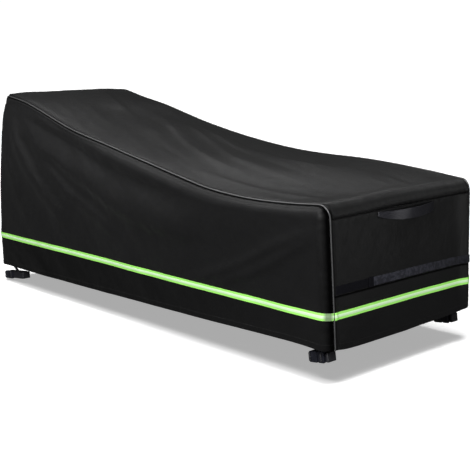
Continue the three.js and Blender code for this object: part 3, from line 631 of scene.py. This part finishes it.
def webbing_material(name, low, high, blue, rough, axis, painted_highlight_at=None):
    """Ribbed webbing with fine threads, with a painted highlight round a given place along Y."""
    t = paint(name)
    ribs = t.wave(t.axis(axis), RIB_PITCH)
    threads = t.noise(700, 2)
    colour = t.mix(t.between(ribs, -1, 1), grey(low, blue), grey(high, blue))
    colour = t.mix(t.between(threads, 0.4, 0.7, 0, 0.4), colour, grey(high * 1.5, blue))
    # a painted highlight, paler round that place, where the bulging webbing catches the light
    if painted_highlight_at is not None:
        away = t.math("ABSOLUTE", t.math("SUBTRACT", t.axis("Y"), painted_highlight_at))
        colour = t.mix(t.between(away, 0.01, 0.05, 0.7, 0), colour, grey(high * 4, 1.1))
    return t.finish(colour, rough, 0.5, [(ribs, 0.00022, 0.8), (threads, 0.0002, 0.6)])


def tape_material():
    """Fluorescent green edges and a silver middle of fine glass beads. It glows a little, as painted light,
    and has painted shade where it bends round a vertical corner.
    """
    t = paint("reflective_tape")
    off = t.math("ABSOLUTE", t.math("SUBTRACT", t.axis("Z"), TAPE_Z))
    beads = t.noise(1400, 2)
    patches = t.noise(55, 3)
    green = t.mix(patches, (0.31, 0.79, 0.12, 1), (0.37, 0.84, 0.18, 1))
    silver = t.mix(t.between(beads, 0.3, 0.7), (0.52, 0.80, 0.44, 1), (0.70, 0.90, 0.62, 1))
    colour = t.mix(t.between(off, 0.0040, 0.0056), silver, green)
    # painted shade where the tape bends round each vertical corner
    along = t.math("ABSOLUTE", t.math("ADD", t.axis("X"), ORIGIN[0] / 1000))
    away_x = t.math("SUBTRACT", along, TAPE_CORNER[0])
    away_y = t.math("SUBTRACT", t.math("ABSOLUTE", t.axis("Y")), TAPE_CORNER[1])
    away = t.math("SQRT", t.math("ADD", t.math("POWER", away_x, 2.0), t.math("POWER", away_y, 2.0)))
    colour = t.mix(t.between(away, 0.007, 0.02, 0.95, 0), colour, (0.15, 0.22, 0.12, 1))
    # the glow of its own colour is painted light
    return t.finish(colour, 0.45, 0.4, [(beads, 0.0002, 0.5)], Emission_Color=colour, Emission_Strength=0.34)


def mesh_material():
    """Open vent mesh in lilac grey, with painted shade towards the far side."""
    t = paint("vent_mesh")
    holes = t.threads(t.axis("Y"), t.axis("Z"), 0.003)
    fuzz = t.noise(90, 4)
    # painted shade, darker towards the far side
    painted_far_shade = t.between(t.axis("Y"), 0.05, 0.34, 0, 0.6)
    colour = t.mix(t.between(holes, -0.2, 0.6), (0.042, 0.0425, 0.060, 1), (0.022, 0.0222, 0.030, 1))
    colour = t.mix(t.between(fuzz, 0.46, 0.58, 0, 0.8), colour, (0.090, 0.092, 0.122, 1))
    colour = t.mix(painted_far_shade, colour, (0.008, 0.0082, 0.0105, 1))
    return t.finish(colour, 0.6, 0.25, [(holes, 0.0005, 0.7)], Sheen_Weight=0.1, Sheen_Roughness=0.4)


def twill_material():
    t = paint("black_twill")
    diagonal = t.math("ADD", t.axis("Y"), t.axis("Z"))
    lines = t.wave(diagonal, 0.0016)
    colour = t.mix(t.between(lines, -1, 1), (0.006, 0.006, 0.0078, 1), (0.022, 0.022, 0.029, 1))
    return t.finish(colour, 0.7, 0.1, [(lines, 0.0002, 0.6)])


def plastic_material():
    t = paint("buckle_plastic")
    grain = t.noise(900, 3)
    wear = t.noise(40, 3)
    colour = t.mix(t.between(wear, 0.4, 0.75), (0.013, 0.0138, 0.020, 1), (0.028, 0.0295, 0.041, 1))
    rough = t.between(wear, 0.3, 0.7, 0.2, 0.34)
    return t.finish(colour, rough, 0.5, [(grain, 0.0001, 0.5)])


CLOTH_SIDE = cloth("cloth_side", "X", "Z", "X")
CLOTH_TOP = cloth("cloth_top", "X", "Y", "Y")
CLOTH_END = cloth("cloth_end", "Y", "Z", "Y")
PIPING = piping_material()
TAPE_FILM = tape_material()
VENT_MESH = mesh_material()
TWILL = twill_material()
# the handle's webbing has a painted highlight near y = -0.055
GREY_WEBBING = webbing_material("grey_webbing", 0.010, 0.022, 1.3, 0.4, "Z", -0.055)
BLACK_WEBBING = webbing_material("black_webbing", 0.012, 0.026, 1.25, 0.45, "Z")
PLASTIC = plastic_material()

# ---------- grids ----------
CLOTH_THICKNESS = 1.2
EDGE_TRIM = 2.7  # where the cloth turns in beside a seam's cord, mm from the seam
ALLOWANCE = [(1.5, 1.5), (0.9, 4.0), (0.9, 9.0)]  # trim and depth of the seam allowance's rows
FINE = 1
SIDE_STEP, TOP_STEP, END_STEP = 6.4, 6.2, 6.5  # how far apart the rows of points are


def steps(a, b, size):
    """Even steps from a to b, about `size` apart."""
    count = max(2, round(abs(b - a) / (size * FINE)))
    return np.linspace(a, b, count + 1)


def along_cover(size, middle, end):
    """Rows that start with x and go on with each of `end` at the head, with `middle` at every `size` between
    and with each of `end` in reverse at the foot."""
    rows = [(CORE["head"], *row) for row in end]
    rows += [(x, *middle) for x in steps(CORE["head"], CORE["foot"], size)]
    rows += [(CORE["foot"], *row) for row in end[::-1]]
    return np.array(rows, float).T


def side_columns():
    """x, turned, trim and depth of each column of a side panel, from the head corner to the foot corner."""
    end = [(1, trim, depth) for trim, depth in reversed(ALLOWANCE)]
    end += [(turn, EDGE_TRIM, 0) for turn in np.linspace(1, 0, 10 // FINE + 2)[:-1]]
    x, turned, trim, depth = along_cover(SIDE_STEP, (0, EDGE_TRIM, 0), end)
    return x, turned * np.sign(x), trim, depth


def side_rows():
    """face, over, trim and depth of each row of a side panel, from the hem to the shoulder seam."""
    overs = np.linspace(0, 1, 16 // FINE + 2)[1:]
    low = [0, 0.0015, 0.005, 0.014, 0.026, 0.034]
    rows = [(face, 0, EDGE_TRIM, 0) for face in [*low, *np.linspace(0.042, 1, 108 // FINE)]]
    rows += [(1, over, EDGE_TRIM, 0) for over in overs]
    rows += [(1, 1, trim, depth) for trim, depth in ALLOWANCE]
    return np.array(rows, float).T


def side_grid(side):
    x, turned, trim_x, depth_x = (c[:, None] for c in side_columns())
    face, over, trim_z, depth_z = (r[None, :] for r in side_rows())
    return side_points(side, x, face, turned, over, np.minimum(trim_x, trim_z), np.maximum(depth_x, depth_z))


def across_columns():
    """side, flat, turned, trim and depth of each column across a top or end panel, from near to far."""
    turns = np.linspace(0, 1, 6 // FINE + 2)[:-1]
    near = [(-1, 0, 0, trim, depth) for trim, depth in reversed(ALLOWANCE)]
    near += [(-1, 0, turn, EDGE_TRIM, 0) for turn in turns]
    flats = [(0, flat, 0, EDGE_TRIM, 0) for flat in np.linspace(-1, 1, 110 // FINE + 1)]
    far = [(1, 0, *rest) for _, _, *rest in reversed(near)]
    return np.array(near + flats + far, float).T


LAP = [1.2, 4.0, 9.0]  # depths of the rows of a cross seam's allowance
CROSS_GAP = 1.2  # how far below the core's top an end panel stops


def top_stations():
    """x, lift and depth of each row of the top panel, from the head's cross seam to the foot's."""
    end = [(0, depth) for depth in reversed(LAP)]
    end += [(lift, 0) for lift in [0, 0.02, *np.linspace(0, UP, 14 // FINE + 2)[1:-1]]]
    return along_cover(TOP_STEP, (UP, 0), end)


def end_grid(end, low, high, lap_low):
    """Rows of an end panel from the height function low to high, turned in at the top, and at the bottom if
    that edge is lapped too."""
    span = float(high(0) - low(0))
    edge = np.array([0, 0.8, 3]) / span
    shares = [*edge, *steps(8 / span, 1 - 8 / span, END_STEP / span), *(1 - edge[::-1])]
    rows = [(0, depth) for depth in reversed(LAP)] if lap_low else []
    rows += [(share, 0) for share in shares]
    rows += [(1, depth) for depth in LAP]
    share, depth = np.array(rows, float).T[:, :, None]
    return cross_points(0 * share + CORE[end], 0 * share, across_columns(),
                        lambda across: lerp(low(across), high(across), share), depth, end)


def end_hem(x):
    return lambda across: hem_at(x, across) + CORNER_HEM_RISE - END_HEM_SAG * (1 - across**8)


def end_top(x):
    return lambda across: core_top(x, across) - CROSS_GAP


def at_height(z):
    return lambda across: z + 0 * across


# ---------- cloth panels ----------
def add_panel(node, material, shape, flip=False):
    grid, seam, stitch = shape
    add_sheet(node + "_cloth", node, "cloth", material, grid, CLOTH_THICKNESS, seam, stitch, flip=flip)


SIDES = (("near", -1), ("far", 1))
for name, side in SIDES:
    add_panel("side_panel_" + name, CLOTH_SIDE, side_grid(side), flip=side > 0)

station_x, lift, depth = top_stations()
add_panel("top_panel", CLOTH_TOP, cross_points(station_x, lift, across_columns(), None, depth))

for name, end, low, high, lap_low in (
    ("head_end_panel", "head", end_hem(CORE["head"]), end_top(CORE["head"]), False),
    ("foot_upper_panel", "foot", at_height(VENT_SEAM + VENT_GAP), end_top(CORE["foot"]), True),
    ("foot_lower_panel", "foot", end_hem(CORE["foot"]), at_height(VENT_SEAM - VENT_GAP), False),
):
    add_panel(name, CLOTH_END, end_grid(end, low, high, lap_low), flip=end == "foot")


# ---------- piping ----------
PIPING_RADIUS = 2.25
PIPING_STANDS = 1.2


def piping_line(side):
    """Centre points of the piping and the direction out of the cloth, from the hem at the head to that at the
    foot."""
    end = [(face, 0) for face in np.linspace(0, 1, 90 // FINE)[:-1]]
    end += [(1, lift) for lift in np.linspace(0, UP, 12)[:-1]]
    x, face, lift = along_cover(TOP_STEP, (1, UP), end)
    z = lerp(hem_at(x, side) + CORNER_HEM_RISE, core_top(x, side), face)
    base, out = edge_terms(side, x, z, lift, seam_angle(np.sin(lift) ** 2, x))
    wander = 0.35 * noise(np.arange(len(x)) * TOP_STEP, 0 * x, 55, 1, 61)
    return relaxed(base + out * (PIPING_STANDS + wander * smooth(face * 12))[:, None]), out


def ring_faces(count, around, closed=False, flip=False):
    """Quads between rings of points, in order, with a cap of quads at each end unless they are closed."""
    index = np.arange(count * around).reshape(count, around)
    if closed:
        index = np.vstack([index, index[:1]])
    after = np.roll(index, -1, 1)
    quads = np.stack([index[:-1], index[1:], after[1:], after[:-1]], -1).reshape(-1, 4)
    if flip:
        quads = quads[:, [0, 3, 2, 1]]
    if closed:
        return quads
    order = -1 if flip else 1
    caps = []
    for ring, way in ((index[0], order), (index[-1], -order)):
        for k in range(around // 2 - 1):
            caps.append([ring[k], ring[k + 1], ring[-2 - k], ring[-1 - k]][::way])
    return np.vstack([quads, np.array(caps)])


def tube(line, out, radius, around=12):
    """A round cord along a line of points."""
    along = unit(along_rows(line))
    beside = unit(np.cross(along, out))
    out = np.cross(beside, along)
    angle = np.linspace(0, 2 * np.pi, around, endpoint=False)
    ring = np.cos(angle)[None, :, None] * out[:, None] + np.sin(angle)[None, :, None] * beside[:, None]
    vertices = line[:, None] + radius * ring
    return vertices.reshape(-1, 3), ring_faces(len(line), around, flip=True)


for name, side in SIDES:
    cord = tube(*piping_line(side), PIPING_RADIUS)
    add_piece("piping_" + name + "_cord", [(*cord, PIPING)], "piping_" + name)

# ---------- reflective tape ----------
TAPE_THICKNESS = 0.9
OVER_CLOTH = 1.6
OVER_PIPING, SEAM_REACH = 4.65, 9  # how far the tape stands off at a seam, and how far to each side


def tape_grid():
    """Rings of points of the tape, from its lower to its upper edge, set off the cloth and the piping."""
    heights = np.array([0, 0.5, 2, 5, 7.5, 8.4, 12, 15.6, 16.5, 19, 22, 23.5, 24]) + TAPE_LOW
    x, turned, _, depth = (c[3:-3, None] for c in side_columns())
    flat = 0 * turned
    sides = [side_points(side, x, 0, turned, flat, flat, depth, heights[None, :])[0] for side in (-1, 1)]
    columns = across_columns()[:, 4:-4]
    ends = {}
    for end in ("head", "foot"):
        grid = [cross_points([CORE[end]], [0.0], columns, at_height(z), 0.0, end)[0][0] for z in heights]
        ends[end] = np.stack(grid, 1)
    ring = np.vstack([sides[0], ends["foot"], sides[1][::-1], ends["head"][::-1]])
    place = np.cumsum(np.linalg.norm(np.diff(ring[:, 6], axis=0, append=ring[:1, 6]), axis=1))
    place = np.insert(place[:-1], 0, 0)
    total = place[-1]
    stand = np.full(len(ring), OVER_CLOTH)
    along, across = len(sides[0]), len(ends["foot"])
    for seam in place[[0, along, along + across, 2 * along + across]]:
        away = np.abs(place - seam)
        away = np.minimum(away, total - away)
        over_cord = np.exp(-((away / SEAM_REACH) ** 2))
        stand = np.maximum(stand, OVER_CLOTH + (OVER_PIPING - OVER_CLOTH) * over_cord)
    lift = np.zeros(len(heights))
    lift[5:8] = 0.35
    return ring, stand[:, None] + lift[None, :]


ring, stand = tape_grid()
add_sheet("reflective_tape_band", "reflective_tape", "reflective", TAPE_FILM, ring, TAPE_THICKNESS,
          stand=stand, loop=True)


# ---------- what is sewn to the foot end ----------
def foot_face(y, z):
    """The outer face of the foot end at (y, z), with its folds."""
    half, ry, _ = level_at(CORE["foot"], z, 0)
    flat = np.clip(y / (half - ry), -1, 1)
    columns = (0 * flat, flat, 0 * flat, 0 * flat + EDGE_TRIM, 0 * flat)
    return cross_points([CORE["foot"]], [0.0], columns, at_height(z), 0.0, "foot")[0][0, :, 0]


def patch_grid(y0, y1, z0, z1, seed):
    """Rows of points on the foot end's face, with gently uneven edges."""
    y = steps(y0, y1, 4)
    low = z0 + 0.8 * noise(y, 0 * y, 60, 1, seed)
    high = z1 + 0.8 * noise(y, 0 * y, 70, 1, seed + 1)
    shares = np.array([0, 0.02, 0.08, 0.2, 0.35, 0.5, 0.65, 0.8, 0.92, 0.98, 1])
    grid = []
    for share in shares:
        z = lerp(low, high, share)
        middle = float(z.mean())
        wave = 0.35 * noise(y, z, 22, 14, seed + 2) * 4 * share * (1 - share)
        grid.append(points(foot_face(y, middle) + wave, y, z))
    return np.stack(grid)


for name, corners, thickness, material, slot, seed in (
    ("vent_strip", (-168, 354, 181, 209), 1.2, VENT_MESH, "vent_mesh", 71),
    ("vent_end_tab", (-192, -169, 178, 212), 1.6, TWILL, "twill", 74),
    ("vent_facing", (-352, -193, 181, 209), 1.0, TWILL, "twill", 77),
):
    grid = patch_grid(*corners, seed)
    add_sheet(name + "_cloth", name, slot, material, grid, thickness, flip=True, stand=thickness + 0.5)

HANDLE = {"y0": -142, "y1": 154, "under": 6, "height": 35, "near_tip": 13, "far_tip": 32, "bulge": 30,
          "thickness": 2, "stand": 2.3}


def handle_grid():
    t = steps(0, 1, 1 / 110)
    opened = np.sin(np.pi * t)
    y = lerp(HANDLE["y0"], HANDLE["y1"], t)
    tip = np.where(t < 0.5, HANDLE["near_tip"], HANDLE["far_tip"])
    height = lerp(tip, HANDLE["height"], opened**0.6)
    top = core_top(CORE["foot"], y / half_width(CORE["foot"])) - HANDLE["under"]
    grid = []
    for down in np.linspace(0, 1, 49 // FINE):
        z = top - down * height
        ribs = 0.3 * np.cos(2 * np.pi * 8 * down)
        half, ry, scale = level_at(CORE["foot"], z, 0)
        bow = np.cos(UP * y / (half - ry)) ** 2
        bow = bow * fade_over(core_top(CORE["foot"], 0) - z, BOW_FADE)
        face = CORE["foot"] * scale + REACH["foot"] - END_BOW * bow
        grid.append(points(face + HANDLE["bulge"] * opened**0.8 + ribs, y, z))
    return np.stack(grid)


add_sheet("carry_handle_webbing", "carry_handle", "grey_webbing", GREY_WEBBING, handle_grid(),
          HANDLE["thickness"], stand=HANDLE["stand"])

# ---------- leg straps and buckles ----------
WEBBING = {"height": 30, "thickness": 2, "depth": 40, "bend": 5}
SOCKET_BAR = (-31, -28, 11)  # from x0 to x1 of the bar, and its thickness
PLUG_BAR = (13.5, 20, 9)
PLUG_END, PLUG_JOG = 31, 5
THREAD_GAP = 0.3
STRAPS = table("x0 x1 y z tilt side buckle tab behind flat tab_flat", [
    (934, 1020, -360, -32, 8, -1, 974, 984, 8.6, 0.26, 0.106),
    (924, 1008, 322, -38, 7, 1, 964, 972, 2.4, 0.26, 0.104),
    (-1044, -880, -372, -76, 6, -1, -1003, -920, 2.4, 0.42, 0.102),
    (-1044, -880, 326, -62, 3, 1, -1000, -950, 2.4, 0.42, 0.098),
])  # flat and tab_flat are the cut lengths of the webbing and the tab, in metres
STRAP_NAMES = ["near_foot", "far_foot", "near_head", "far_head"]
STRAP_WIDTH, BUCKLE_BEVEL = 0.03, 0.00045  # metres
TAB_THICKNESS, TAB_INSIDE = 1.6, 5.2  # and how far it hangs inside the side panel's face


def resample(path, size, closed=False):
    """Points along a path, about `size` apart."""
    path = np.array(path, float)
    if closed:
        path = np.vstack([path, path[:1]])
    lengths = np.insert(np.cumsum(np.linalg.norm(np.diff(path, axis=0), axis=1)), 0, 0)
    at = steps(0, lengths[-1], size)
    found = np.stack([np.interp(at, lengths, path[:, k]) for k in range(2)], 1)
    return found[:-1] if closed else found


def band(path, height, thickness, closed=False):
    """Webbing on edge along a path in plan, with rounded selvedges and shallow ribs."""
    along = unit(along_rows(path, closed))
    beside = np.stack([along[:, 1], -along[:, 0]], 1)
    rise = np.linspace(-1, 1, 25)
    bulge = np.sqrt(1 - np.abs(rise) ** 14) * (thickness / 2 - 0.1) + 0.1 * np.cos(rise * np.pi * 8)
    bulge = np.maximum(bulge, 0.15)
    section = np.concatenate([np.stack([bulge, rise], 1), np.stack([-bulge, rise], 1)[::-1]])
    across, up = section.T
    flat = path[:, None] + beside[:, None] * across[None, :, None]
    heights = np.broadcast_to((up * height / 2)[None, :, None], (*flat.shape[:2], 1))
    vertices = np.concatenate([flat, heights], 2)
    return vertices.reshape(-1, 3), ring_faces(*vertices.shape[:2], closed)


def rounded(x0, x1, y, r):
    """A rounded rectangle in plan, anticlockwise."""
    path = []
    x0, x1, y = x0 + r, x1 - r, y - r
    for cx, cy, start in ((x1, -y, -UP), (x1, y, 0), (x0, y, UP), (x0, -y, 2 * UP)):
        path += [(cx + r * math.cos(start + a), cy + r * math.sin(start + a)) for a in np.linspace(0, UP, 5)]
    return path


def strap_parts(length, buckle):
    """The loop of webbing and its turns round the buckle's two bars, centred, in the loop's own plane."""
    half = WEBBING["thickness"] / 2
    depth = WEBBING["depth"]
    a, b, r = length / 2 - half, depth / 2 - half, WEBBING["bend"] - half
    behind = PLUG_BAR[2] / 2 + THREAD_GAP + half - depth / 2
    start = buckle + PLUG_BAR[1] + THREAD_GAP
    bend_x = buckle + PLUG_END + THREAD_GAP
    path = [(start, behind), (bend_x, behind), (bend_x + PLUG_JOG, -b)]
    for cx, cy, turn in ((1, -1, -UP), (1, 1, 0), (-1, 1, UP), (-1, -1, 2 * UP)):
        for angle in np.linspace(turn, turn + UP, 6):
            path.append((cx * (a - r) + r * math.cos(angle), cy * (b - r) + r * math.sin(angle)))
    path.append((buckle + SOCKET_BAR[0] - THREAD_GAP - half, -b))
    parts = [band(resample(path, 2.2), WEBBING["height"], WEBBING["thickness"])]
    for x0, x1, thick in (SOCKET_BAR, PLUG_BAR):
        stand = THREAD_GAP + half
        outline = rounded(x0 - stand, x1 + stand, thick / 2 + stand, stand)
        ring = resample(outline, 1.2, closed=True) + np.array([buckle, -depth / 2])
        parts.append(band(ring, WEBBING["height"] - 2, WEBBING["thickness"], closed=True))
    return parts


def inside_of(side, x, z):
    """The inner face of a side panel, measured from the centre line."""
    half, ry, scale = level_at(x, z, side)
    past = np.maximum(0, np.abs(x) - abs(CORE["head"] if np.mean(x) < 0 else CORE["foot"]) * scale)
    turned = np.sqrt(np.maximum(0, 1 - (past / by_end(x, REACH)) ** 2))
    return half - ry + ry * turned - TAB_INSIDE


def tab_grid(row):
    """The tab that hangs a strap from the inside of the side panel."""
    side, tab = row["side"], row["tab"]
    z = row["z"] + (tab - (row["x0"] + row["x1"]) / 2) * math.tan(math.radians(row["tilt"]))
    loop_y = (-row["y"] if side < 0 else row["y"] + WEBBING["depth"]) - row["behind"]
    hem = float(row_at(HEM, "z", tab))
    x = tab + np.linspace(-15, 15, 16)
    down = [hem + 34, hem + 26, hem + 18, hem + 10, hem + 4]
    rows = [points(x, side * inside_of(side, x, h), h) for h in down]
    low = [z + WEBBING["height"] / 2 + 4 - k * WEBBING["height"] / 6 for k in range(7)]
    first, last = rows[-1], points(x, side * loop_y, low[0])
    rows += [lerp(first, last, share) for share in (0.25, 0.5, 0.75)]
    rows += [points(x, side * loop_y, h) for h in low]
    return np.stack(rows)


def buckle_piece(node):
    """Half a buckle: the CAD solid with rounded edges."""
    mesh = nodes[node].data.copy()
    mesh.name = node + "_moulded"
    mesh.materials.clear()
    mesh.materials.append(PLASTIC)
    mesh.polygons.foreach_set("material_index", [0] * len(mesh.polygons))
    work = bmesh.new()
    work.from_mesh(mesh)
    bmesh.ops.remove_doubles(work, verts=work.verts, dist=1e-6)
    bmesh.ops.dissolve_limit(work, angle_limit=math.radians(2), verts=work.verts, edges=work.edges)
    sharp = [e for e in work.edges if len(e.link_faces) == 2 and e.calc_face_angle() > math.radians(25)]
    bmesh.ops.bevel(work, geom=sharp, offset=BUCKLE_BEVEL, segments=2, profile=0.6, affect="EDGES",
                    clamp_overlap=True)
    bmesh.ops.triangulate(work, faces=[f for f in work.faces if len(f.verts) > 4])
    work.to_mesh(mesh)
    work.free()
    stand_for(node, add_object(mesh.name, mesh))


for i, strap in enumerate(STRAP_NAMES):
    row = {key: float(values[i]) for key, values in STRAPS.items()}
    centre = np.array([(row["x0"] + row["x1"]) / 2, row["y"] + WEBBING["depth"] / 2, row["z"]])
    tilt = math.radians(row["tilt"])
    turn = np.array([[math.cos(tilt), 0, -math.sin(tilt)], [0, 1, 0], [math.sin(tilt), 0, math.cos(tilt)]])
    parts = strap_parts(row["x1"] - row["x0"], row["buckle"] - centre[0])
    placed = [(vertices @ turn.T + centre, quads, BLACK_WEBBING) for vertices, quads in parts]
    loop, tab = "strap_" + strap, "strap_tab_" + strap
    add_piece(loop + "_webbing", placed, loop)
    add_sheet(tab + "_webbing", tab, "black_webbing", BLACK_WEBBING, tab_grid(row), TAB_THICKNESS,
              flip=row["side"] < 0)
    for half_name in ("socket", "plug"):
        buckle_piece(f"buckle_{half_name}_{strap}")

# ---------- stage and light ----------
FLOOR_Z = -0.6043
FLOOR_LIGHT = 3.0
FLOOR_LIGHT_SPREAD = 25


def add_floor():
    """A pale floor that glows a little, as a lit studio floor does, and casts no light on the cloth."""
    mesh = bpy.data.meshes.new("floor")
    size = 40
    corners = [(-size, -size, FLOOR_Z), (size, -size, FLOOR_Z), (size, size, FLOOR_Z), (-size, size, FLOOR_Z)]
    mesh.from_pydata(corners, [], [(0, 1, 2, 3)])
    floor = add_object("floor", mesh)
    floor.visible_glossy = False
    floor.visible_diffuse = False
    t = paint("floor_paint")
    colour = t.mix(t.noise(2, 2), grey(0.88), grey(0.9))
    mesh.materials.append(t.finish(colour, 0.9, 0, Emission_Color=grey(1), Emission_Strength=0.4))
    return floor


def add_floor_light(floor):
    """A soft light from straight above that only the floor receives, and the cover shades."""
    data = bpy.data.lights.new("floor_light", "SUN")
    data.energy = FLOOR_LIGHT
    data.angle = math.radians(FLOOR_LIGHT_SPREAD)
    receivers = bpy.data.collections.new("floor_light_receivers")
    receivers.objects.link(floor)
    add_object("floor_light", data).light_linking.receiver_collection = receivers


def add_light(name, at, towards, size, power, receivers=None):
    data = bpy.data.lights.new(name, "AREA")
    data.shape = "RECTANGLE"
    data.size, data.size_y = size
    data.energy = power
    light = add_object(name, data)
    light.location = at
    aim = Vector(towards) - Vector(at)
    light.rotation_euler = aim.to_track_quat("-Z", "Y").to_euler()
    light.visible_camera = False
    if receivers:
        light.light_linking.receiver_collection = receivers


SKY = [(-1, 0.08), (-0.2, 0.08), (0, 0.07), (0.15, 0.01), (0.45, 0.01), (0.65, 0.05), (1, 0.05)]  # by height
BACKDROP = 1.3


def add_world():
    """A dim sky, darkest in a band above the horizon, and a white backdrop that only the camera sees."""
    world = bpy.data.worlds.new("studio")
    bpy.context.scene.world = world
    t = Tree(world)
    t.nodes.clear()
    curved, output = t.nodes.new("ShaderNodeFloatCurve"), t.nodes.new("ShaderNodeOutputWorld")
    brightest = max(value for _, value in SKY)
    knots = curved.mapping.curves[0].points
    for height, value in SKY[1:-1]:
        knots.new((height + 1) / 2, value / brightest)
    knots[0].location = (0, SKY[0][1] / brightest)
    knots[-1].location = (1, SKY[-1][1] / brightest)
    curved.mapping.update()
    t.put(curved, {"Value": t.between(t.axis("Z", t.add("TexCoord", out="Generated")), -1, 1)})
    strength = t.math("MULTIPLY", curved.outputs[0], brightest)
    shown = t.add("Mix", {0: t.add("LightPath", out="Is Camera Ray"), 2: strength, 3: BACKDROP})
    t.put(output, {0: t.add("Background", {"Strength": shown})})


add_floor_light(add_floor())
add_world()

GROUPS = {  # groups of pieces that a light can be linked to, by how their names start
    "cover": "",
    "near": ("side_panel_near", "piping_near", "strap", "buckle", "reflective_tape"),
    "hardware": ("strap", "buckle"),
    "top": "top_panel",
    "handle": "carry",
    "end": ("foot_", "vent", "carry", "reflective_tape"),
    "back": ("side_panel_far", "head_end_panel", "piping_far"),
}
pieces = [obj for obj in bpy.context.scene.collection.objects if obj.type == "MESH" and obj.name != "floor"]
groups = {None: None}
for key, starts in GROUPS.items():
    groups[key] = bpy.data.collections.new(key + "_receivers")
    for obj in pieces:
        if obj.name.startswith(starts):
            groups[key].objects.link(obj)

for name, at, towards, size, power, group in (
    ("overhead", (0.3, -1.6, 2.4), (-0.3, 0, -0.1), (3, 0.8), 56, None),
    ("back_card", (-2.09, 1.61, 2.4), (-0.3, 0, 0), (4, 0.5), 23, "cover"),
    ("end_light", (2.9, 1.3, -0.05), (0.5, 0, -0.2), (0.9, 0.5), 6.5, "cover"),
    ("raking_light", (-2.8, -2, 1), (-0.5, 0, -0.1), (0.8, 1.6), 4.2, "near"),
    ("shoulder_light", (-2.4, -1.6, 2.4), (-0.5, 0, -0.1), (1.4, 1.4), 20, "cover"),
    ("side_fill", (1.2, -3, 1.6), (-0.3, 0, -0.1), (1.6, 1), 19, "near"),
    ("end_fill", (1.9, -2.2, 0.6), (0.9, 0, -0.3), (1, 1), 22, "end"),
    ("crest_light", (0.9, 2.9, 1.9), (1, 0, 0), (2, 0.8), 7.5, "top"),
    ("lip_light", (2.2, 2.2, 0.8), (1, 0, 0), (1, 0.8), 4, "top"),
    ("handle_light", (2.2, -2.2, 0.5), (1, 0, 0), (0.3, 0.6), 30, "handle"),
    ("hardware_light", (0.4, -3.2, 0.15), (0, -0.4, -0.4), (1.2, 0.25), 14, "hardware"),
    ("foot_fill", (1.7, -2.6, 1.2), (0.5, -0.4, -0.3), (1, 1), 50, "near"),
    ("far_side_light", (0.4, 3.2, 2.2), (-0.4, 0.4, -0.1), (2.4, 0.8), 100, "back"),
    ("far_raking_light", (2.2, 2.4, 0.8), (-0.3, 0.4, -0.1), (0.8, 1.6), 12, "back"),
    ("head_light", (-4.4, -0.6, 1.2), (-1.6, 0, 0), (1.2, 1.2), 60, "back"),
):
    add_light(name, at, towards, size, power, groups[group])
bpy.context.scene.view_settings.view_transform = "Standard"
